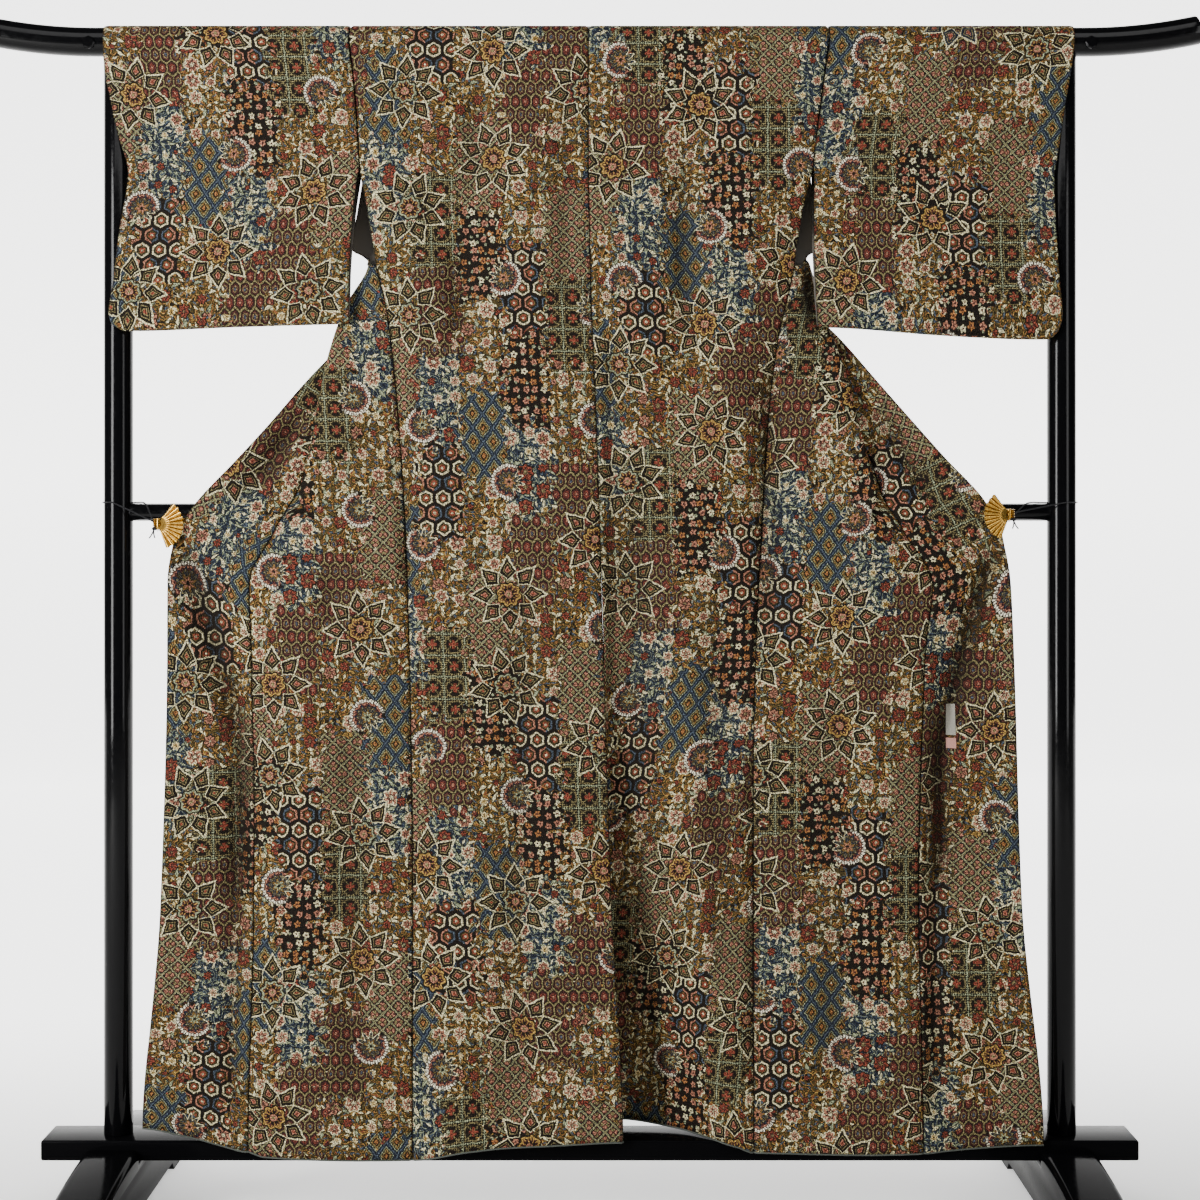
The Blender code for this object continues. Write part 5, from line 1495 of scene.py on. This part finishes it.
# Plan sections of an opened front. Above the clip the slack cloth doubles back on itself: out to the fold,
# in to the tuck, and out again past the seam of the overlap panel to the edge.
FRONT_NAMES = ("height", "fold_x", "fold_y", "fold_bend", "tuck_x", "tuck_y", "tuck_bend",
               "seam_x", "seam_y", "valley_x", "valley_y", "edge_x", "edge_y")
FRONT_LEFT = dict(
    names=FRONT_NAMES,
    rows=((HEM_LEVEL, -395, -57, 0, -430, -56, 0, -470, -52, -502, -43, -616, -47),
          (440, -395, -53, 0, -430, -52, 0, -463, -47, -495, -34, -592, -43),
          (780, -395, -49, 0, -430, -48, 0, -467, -42, -500, -31, -584, -38),
          (880, -388, -46, 0, -422, -44, 0, -471, -37, -515, -32, -584, -36),
          (950, -380, -43, 0, -408, -41, 0, -437, -34, -500, -31, -573, -34),
          (965, -386, -43, 0, -400, -35, 0, -430, -31, -495, -30, -563, -33),
          (975, -391, -43, 0, -393, -31, 0, -424, -29, -490, -29.5, -557, -32.5),
          (985, -397, -41, 2, -385, -29.5, 2, -418, -27, -486, -29, -550, -32),
          (1000, -402, -37, 4, -378, -29, 4, -409, -25, -480, -28, -538, -31),
          (1050, -391, -31, 6, -343, -19, 6, -391, -14, -440, -19, -491, -25),
          (1100, -382, -26, 6, -311, -11, 6, -358, -6, -402, -11, -447, -17),
          (1160, -373, -18, 6, -272, -3, 6, -321, 2, -359, -2, -397, -7),
          (1220, -359, -7, 6, -228, 5, 6, -282, 11, -312, 10.5, -342, 10),
          (1270, -341, 1, 6, -184, 12, 6, -246, 18, -268, 18.5, -290, 19),
          (UNDERARM, -311, -1, 5, -140, 17, 6, -216, 24.5, -231, 25, -246, 26),
          (1328, -310, 4, 1.5, -137.5, 18, 6, -212, 25, -226, 26, -240, 26.5),
          (1335, -309, 8, 0, -135, 19, 6, -208, 26, -220, 26.5, -233, 27),
          (1350, -314, 15, 0, -130, 20, 6, -201, 26.5, -211, 27, -222, 28),
          (1400, -306, 20.5, 0, -122, 21, 6, -184, 27.5, -188, 28, -192, 29),
          (SLEEVE_JOIN, -298, 18.5, 0, -112, 21.5, 6, -165, 30, -165, 30, -165, 30),
          (1540, -303, 21.5, 0, -107, 22, 4.5, -128, 28, -128, 28, -128, 28),
          (1558, -304, 21.8, 0, -106, 22.2, 2, -116, 28.5, -116, 28.5, -116, 28.5),
          (1574, -306, 22, 0, -105, 22.3, 0, -106, 28.5, -106, 28.5, -106, 28.5),
          (1588, -307, 22.2, 0, -104.5, 22.4, 0, -99.5, 26, -99.5, 26, -99.5, 26),
          (1600, -308, 22.3, 0, -104, 22.4, 0, -96, 23.2, -96, 23.2, -96, 23.2),
          (RAIL_HEIGHT, -311, 22.3, 0, -105, 22.3, 0, -92.5, 22.3, -92.5, 22.3, -92.5, 22.3)))
FRONT_RIGHT = dict(
    names=FRONT_NAMES,
    rows=((HEM_LEVEL, 395, -57, 0, 430, -56, 0, 459, -52, 495, -43, 625, -47),
          (440, 392, -53, 0, 426, -52, 0, 453, -47, 488, -34, 596, -43),
          (780, 390, -49, 0, 424, -48, 0, 463, -42, 493, -31, 586, -38),
          (880, 388, -46, 0, 422, -44, 0, 474, -37, 513, -32, 582, -36),
          (950, 378, -43, 0, 404, -41, 0, 435, -34, 497, -31, 570, -34),
          (965, 384, -43, 0, 397, -35, 0, 428, -31, 493, -30, 563, -33),
          (975, 388, -43, 0, 390, -31, 0, 421, -29, 488, -29.5, 558, -32.5),
          (985, 393, -41, 2, 381, -29.5, 2, 414, -27, 483, -29, 552, -32),
          (1000, 397, -37, 4, 374, -29, 4, 406, -25, 476, -28, 542, -31),
          (1050, 386, -31, 6, 338, -19, 6, 391, -14, 443, -19, 496, -25),
          (1100, 374, -26, 6, 306, -11, 6, 363, -6, 408, -11, 453, -17),
          (1160, 360, -18, 6, 268, -3, 6, 328, 2, 365, -2, 402, -7),
          (1220, 340, -7, 6, 224, 5, 6, 292, 11, 322, 10.5, 353, 10),
          (1270, 322, 1, 6, 182, 12, 6, 257, 18, 280, 18.5, 303, 19),
          (UNDERARM, 309, 1, 5, 140, 17, 6, 223, 24.5, 239, 25, 255, 26),
          (1328, 307, 4, 1.5, 137.5, 18, 6, 218, 25, 232, 26, 246, 26.5),
          (1335, 302, 8, 0, 135, 19, 6, 213, 26, 226, 26.5, 238, 27),
          (1350, 300, 15, 0, 130, 20, 6, 205, 26.5, 215, 27, 226, 28),
          (1400, 296, 20.5, 0, 122, 21, 6, 186, 27.5, 190, 28, 194, 29),
          (SLEEVE_JOIN, 288, 18.5, 0, 112, 21.5, 6, 166, 30, 166, 30, 166, 30),
          (1540, 298, 21.5, 0, 107, 22, 4.5, 128, 28, 128, 28, 128, 28),
          (1558, 300, 21.8, 0, 106, 22.2, 2, 116, 28.5, 116, 28.5, 116, 28.5),
          (1574, 302, 22, 0, 105, 22.3, 0, 106, 28.5, 106, 28.5, 106, 28.5),
          (1588, 304, 22.2, 0, 104.5, 22.4, 0, 99.5, 26, 99.5, 26, 99.5, 26),
          (1600, 305, 22.3, 0, 104, 22.4, 0, 96, 23.2, 96, 23.2, 96, 23.2),
          (RAIL_HEIGHT, 309, 22.3, 0, 105, 22.3, 0, 92.5, 22.3, 92.5, 22.3, 92.5, 22.3)))

# Edge of the fronts above the side seam, where they hang free of the backs and meet the sleeves
ARMHOLE = dict(
    names=("height", "left_x", "right_x", "y"),
    rows=((1328, -311, 298, -6),
          (1335, -321, 307, 2),
          (1350, -336, 318, 14),
          (1400, -328, 317, 20),
          (SLEEVE_JOIN, -320, 310, 17),
          (1540, -325, 320, 21),
          (1600, -331, 328, 22.3),
          (RAIL_HEIGHT, -335, 333, 22.3)))


def stopped_columns(curve, stops, spans):
    """Columns of a curve shared out between its named control points."""
    lengths = run_lengths(curve)
    places = [lengths[stop * CURVE_STEPS] for stop in stops]
    distances = []
    last = len(spans) - 1
    for index, count in enumerate(spans):
        part = column_distances(places[index], places[index + 1], count, index == 0, index == last)
        distances += part if index == 0 else part[1:]
    return points_at(curve, distances)


def front_side(side, height):
    """Where an opened front starts: at the side seam, or at the armhole above it."""
    if height > UNDERARM:
        row = row_at(ARMHOLE, height)
        return Vector((getattr(row, f"{side}_x"), row.y))
    row = row_at(BACK_LEFT if side == "left" else BACK_RIGHT, height)
    return Vector((row.side_x, row.side_y))


def turn_points(before, tip, after, bend):
    """Three points that carry a plan curve round a fold's tip, a bend in front of it and a bend behind."""
    reach_in = min(TURN_REACH, TURN_SHARE * (tip - before).length)
    reach_out = min(TURN_REACH, TURN_SHARE * (after - tip).length)
    coming = tip - (tip - before).normalized() * reach_in - Vector((0.0, bend))
    going = tip + (after - tip).normalized() * reach_out + Vector((0.0, bend))
    return [coming, tip, going]


def front_plan(side, height):
    """Plan curve of an opened front at one height, from its side past the fold and the tuck to its edge."""
    row = row_at(FRONT_LEFT if side == "left" else FRONT_RIGHT, height)
    start = front_side(side, height)
    fold = Vector((row.fold_x, row.fold_y))
    tuck = Vector((row.tuck_x, row.tuck_y))
    seam = Vector((row.seam_x, row.seam_y))
    around_fold = turn_points(start, fold, tuck, row.fold_bend)
    around_tuck = turn_points(fold, tuck, seam, row.tuck_bend)
    points = [start, start.lerp(around_fold[0], 0.5), *around_fold,
              around_fold[2].lerp(around_tuck[0], 0.5), *around_tuck, seam]
    if height < OKUMI_TIP_HEIGHT:
        points += [Vector((row.valley_x, row.valley_y)), Vector((row.edge_x, row.edge_y))]
    return smooth_plan(points)


def depth_at(rows, x, z):
    """Depth of a sheet's outer face at one place, between its rows and columns of points."""
    r = max(index for index, row in enumerate(rows[:-1]) if row[0].z <= z)
    share = (z - rows[r][0].z) / (rows[r + 1][0].z - rows[r][0].z)
    row = [low.lerp(high, share) for low, high in zip(rows[r], rows[r + 1])]
    c = max(index for index, point in enumerate(row[:-1]) if point.x <= x)
    share = (x - row[c].x) / (row[c + 1].x - row[c].x)
    return row[c].y + (row[c + 1].y - row[c].y) * share


def make_label(rows):
    """A small blank label in two parts, stuck on the right overlap panel."""
    for number, ((low, high), colour) in enumerate(zip(LABEL_PARTS, LABEL_COLOURS)):
        bm = bmesh.new()
        bmesh.ops.create_grid(bm, x_segments=LABEL_GRID, y_segments=LABEL_GRID, size=0.5)
        for vert in bm.verts:
            x = LABEL_LEFT + (vert.co.x + 0.5) * LABEL_WIDTH
            z = low + (vert.co.y + 0.5) * (high - low)
            vert.co = Vector((x, depth_at(rows, x, z) - LABEL_LIFT, z)) * MM
        bmesh.ops.recalc_face_normals(bm, faces=bm.faces)
        paper = plain_finish(f"label_paper_{number}", colour, roughness=0.6)
        label = object_from(bm, f"blank_label_{number}", [paper])
        wall = label.modifiers.new("paper", "SOLIDIFY")
        wall.thickness = LABEL_THICKNESS * MM
        dress(label)


def make_front(side, front_offset, okumi_offset):
    """One opened front and the overlap panel sewn to its edge."""
    levels = body_levels(RAIL_HEIGHT)
    front = lay_rows(f"front_{side}", levels,
                     lambda level: stopped_columns(front_plan(side, level), FRONT_STOPS, FRONT_SPANS))
    front += wrap_rows(front[-1], 1.0)
    okumi = lay_rows(f"okumi_{side}", [level for level in levels if level < OKUMI_TIP_HEIGHT],
                     lambda level: stopped_columns(front_plan(side, level), OKUMI_STOPS, OKUMI_SPANS))
    if side == "left":
        front = turned_round(front)
        okumi = turned_round(okumi)
    inner = -1 if side == "left" else 0
    rolls = (EDGE_ROLL, SEAM_ROLL) if side == "left" else (SEAM_ROLL, EDGE_ROLL)
    places = cloth_places(front, inner, front_offset)
    front = rolled(relaxed(front), SEAM_ROLL, SEAM_ROLL)
    make_hem_edging(f"front_{side}", front)
    panel = cloth_sheet(f"front_panel_{side}", f"front_{side}", front, places)
    places = cloth_places(okumi, inner, okumi_offset, slanted=True)
    okumi = rolled(relaxed(okumi), *rolls)
    make_hem_edging(f"overlap_{side}", okumi)
    if side == "right":
        make_label(okumi)
    overlap = cloth_sheet(f"overlap_panel_{side}", f"okumi_{side}", okumi, places)


make_front("left", front_offset=(0.37, 0.21), okumi_offset=(0.15, 0.71))
make_front("right", front_offset=(0.06, 0.87), okumi_offset=(0.2, 0.15))

# The sleeves: one flat tube of silk each, folded over the rail at the shoulder, open at the hand and shut at
# the bottom and below the hand, with the low outer corner rounded. The far layer tucks in behind the post.
SLEEVE_COLUMNS = 36
SLEEVE_LOW_ROWS = 4
CORNER_RADIUS = 19.0
CORNER_SHARES = (0.955, 0.97, 0.985)
PARTED_FROM = 1446.0
SLEEVE_BOTTOM_DROP = 3.0
CUFF_BEHIND_POST = 630.0
PINCH_FROM = 0.5
PINCH_REACH = 0.4

# Edges of the sleeves, and how far its near and far layers stand from the middle of the rail
SLEEVE_NAMES = ("height", "inner_x", "outer_x", "near_y", "far_y", "pinch_y")
SLEEVE_LEFT = dict(
    names=SLEEVE_NAMES,
    rows=((1226, -333, -660, -28, -18, -20.8),
          (1250, -334, -668, -28, -16, -20.8),
          (1300, -334, -661, -27, -7, -20.8),
          (1350, -332, -656, -26, 0, -20.8),
          (1400, -328, -648, -25.5, 9, -20.8),
          (1446, -322, -641, -25, 14, -20.8),
          (SLEEVE_JOIN, -320.5, -642, -24.5, 17, -8),
          (1500, -323, -655, -24.3, 19, 6),
          (1540, -325.5, -664, -24, 21, 16),
          (1600, -331.5, -675, -23, 22.3, 22.3),
          (RAIL_HEIGHT, -335.5, -677, -22.3, 22.3, 22.3)))
SLEEVE_RIGHT = dict(
    names=SLEEVE_NAMES,
    rows=((1222, 316, 650, -28, -18, -20.8),
          (1250, 315, 656, -28, -16, -20.8),
          (1300, 313, 652, -27, -7, -20.8),
          (1350, 311, 649, -26, 0, -20.8),
          (1400, 311, 646, -25.5, 9, -20.8),
          (1446, 311.5, 645, -25, 14, -20.8),
          (SLEEVE_JOIN, 310.5, 647, -24.5, 17, -8),
          (1500, 315, 654, -24.3, 19, 6),
          (1540, 320.5, 660, -24, 21, 16),
          (1600, 328.5, 670, -23, 22.3, 22.3),
          (RAIL_HEIGHT, 333.5, 674, -22.3, 22.3, 22.3)))
SLEEVE_BOTTOM = dict(
    names=("share", "left", "right"),
    rows=((0.0, 1242, 1237), (0.1, 1241, 1236), (0.5, 1237, 1226), (0.9, 1232, 1220)))


def sleeve_levels():
    """Heights of a sleeve's rows, close together where its layers part at the join."""
    parting = {1446, 1449, 1452, 1454, int(SLEEVE_JOIN)}
    return sorted(set(range(1265, 1440, 11)) | parting | set(range(1468, 1636, 11)) | {int(RAIL_HEIGHT)})


def sleeve_layers(side, table, share, bottom, width):
    """The near and the far layer of a sleeve at one share of its width, from its bottom up to the rail."""
    cuff = CUFF_BEHIND_POST * (-1.0 if side == "left" else 1.0)
    pinch = min(max(0.0, (share - PINCH_FROM) / PINCH_REACH), 1.0) ** 2
    corner = max(CORNER_RADIUS - width * (1 - share), 0.0)
    bottom += CORNER_RADIUS - math.sqrt(CORNER_RADIUS ** 2 - corner ** 2)
    levels = sleeve_levels()
    near = []
    far = []
    lowest = [bottom + (levels[0] - bottom) * step / SLEEVE_LOW_ROWS for step in range(SLEEVE_LOW_ROWS)]
    for height in lowest + levels:
        row = row_at(table, height)
        parted = min(max((height - PARTED_FROM) / (SLEEVE_JOIN - PARTED_FROM), 0.0), 1.0)
        outer_far = row.outer_x + (cuff - row.outer_x) * parted
        far_y = row.far_y + (row.pinch_y - row.far_y) * pinch
        near.append(Vector((row.inner_x + (row.outer_x - row.inner_x) * share, row.near_y, height)))
        far.append(Vector((row.inner_x + (outer_far - row.inner_x) * share, far_y, height)))
    return near, far


def over_the_rail(near, far):
    """The way of a sleeve over the rail; its far end draws in only past the rail's top."""
    arc = []
    for step in range(1, 2 * WRAP_STEPS):
        turn = math.radians(90.0 * step / WRAP_STEPS)
        x = near.x + (far.x - near.x) * max(step - WRAP_STEPS, 0) / WRAP_STEPS
        z = RAIL_HEIGHT + CLOTH_OVER_RAIL * math.sin(turn)
        arc.append(Vector((x, -CLOTH_OVER_RAIL * math.cos(turn), z)))
    return arc


def make_sleeve(side, table, offset):
    """A sleeve: one flat tube over the rail, shut at its bottom, its low outer corner rounded."""
    low = row_at(table, sleeve_levels()[0])
    width = abs(low.outer_x - low.inner_x)
    even = [distance / width for distance in column_distances(0.0, width, SLEEVE_COLUMNS, True, True)]
    columns = []
    for share in sorted({*even, *CORNER_SHARES}):
        bottom = getattr(row_at(SLEEVE_BOTTOM, share), side)
        near, far = sleeve_layers(side, table, share, bottom, width)
        fold = (near[0] + far[0]) / 2 - Vector((0.0, 0.0, SLEEVE_BOTTOM_DROP))
        columns.append([fold, *near, *over_the_rail(near[-1], far[-1]), *reversed(far), fold.copy()])
    rows = [list(row) for row in zip(*columns)]
    if side == "left":
        rows = turned_round(rows)
    top = len(near) + WRAP_STEPS
    seam = -1 if side == "left" else 0
    around = run_lengths([row[seam] for row in rows])
    places = []
    for r, row in enumerate(rows):
        across = run_lengths(row)
        places.append([((length - across[seam]) * MM + offset[0], (around[r] - around[top]) * MM + offset[1])
                       for length in across])
    rows = rolled(relaxed(rows, True), EDGE_ROLL, EDGE_ROLL)
    piece = cloth_sheet(f"sleeve_tube_{side}", f"sleeve_{side}", rows, places, shut=True)


make_sleeve("left", SLEEVE_LEFT, offset=(0.36, 0.33))
make_sleeve("right", SLEEVE_RIGHT, offset=(0.01, 0.59))

# The collar: one long band of the same silk, folded lengthwise and sewn over the edges of the fronts and
# round the neck. It lies turned back behind each front edge down to the clip, and hangs behind the rail.
COLLAR_WIDTH = 55.0
COLLAR_THICKNESS = 2.6
COLLAR_LOW = 940.0
COLLAR_HIGH = 1600.0
COLLAR_FLAT_FROM = 1400.0
COLLAR_BEHIND = 2.7
COLLAR_COLUMNS = 8
COLLAR_INSET = 1.0
COLLAR_PROBES = 20
NECK_HALF_WIDTH = 92.0
NECK_COLUMNS = 24
NECK_DROPS = (4, 12, 24)


def make_collar(side, offset):
    """The folded collar band, turned back behind the front edge from the neck down to the clip."""
    outward = -1.0 if side == "left" else 1.0
    between = [height for height in body_levels(COLLAR_HIGH) if COLLAR_LOW < height < COLLAR_HIGH]
    heights = [COLLAR_LOW, *between, COLLAR_HIGH]
    edges = []
    for height in heights:
        edge = front_plan(side, height)[-1]
        edges.append(Vector((edge.x, edge.y, height)))
    rows = []
    for index, edge in enumerate(edges):
        run = edges[min(index + 1, len(edges) - 1)] - edges[max(index - 1, 0)]
        reach = COLLAR_WIDTH * run.length / abs(run.z)
        curve = front_plan(side, edge.z)
        length = run_lengths(curve)[-1]
        steps = [length - reach * (1 - step / COLLAR_PROBES) for step in range(COLLAR_PROBES + 1)]
        depths = [point.y for point in reversed(points_at(curve, steps))]
        row = []
        for c in range(COLLAR_COLUMNS + 1):
            covered = COLLAR_PROBES + 1
            if edge.z < COLLAR_FLAT_FROM:
                covered = COLLAR_PROBES * c // COLLAR_COLUMNS + 1
            x = edge.x - outward * (COLLAR_INSET + reach * c / COLLAR_COLUMNS)
            y = max(depths[:covered]) + COLLAR_BEHIND + fold_push(x, edge.z)
            row.append(Vector((x, y, edge.z)))
        rows.append(row)
    if side == "right":
        rows = turned_round(rows)
    places = cloth_places(rows, 0, offset)
    piece = cloth_sheet(f"collar_band_{side}", f"collar_{side}", rows, places, COLLAR_THICKNESS, lined=False)


def make_neck_collar(offset):
    """The collar behind the neck: it starts at the back's edge on the rail and hangs down behind it."""
    reach = NECK_HALF_WIDTH - 2 * SEAM_DRAW
    across = [-reach + 2 * reach * c / NECK_COLUMNS for c in range(NECK_COLUMNS + 1)]
    rows = []
    for height in (*[COLLAR_HIGH + drop for drop in NECK_DROPS], RAIL_HEIGHT):
        rows.append([Vector((x, CLOTH_OVER_RAIL, height)) for x in reversed(across)])
    rows += wrap_rows(rows[-1], 1.0)
    places = cloth_places(rows, 0, offset)
    rows = rolled(rows, EDGE_ROLL, EDGE_ROLL)
    piece = cloth_sheet("collar_band_neck", "collar_neck", rows, places, lined=False)


make_collar("left", offset=(0.1, 0.3))
make_collar("right", offset=(0.24, 0.5))
make_neck_collar(offset=(0.3, 0.1))
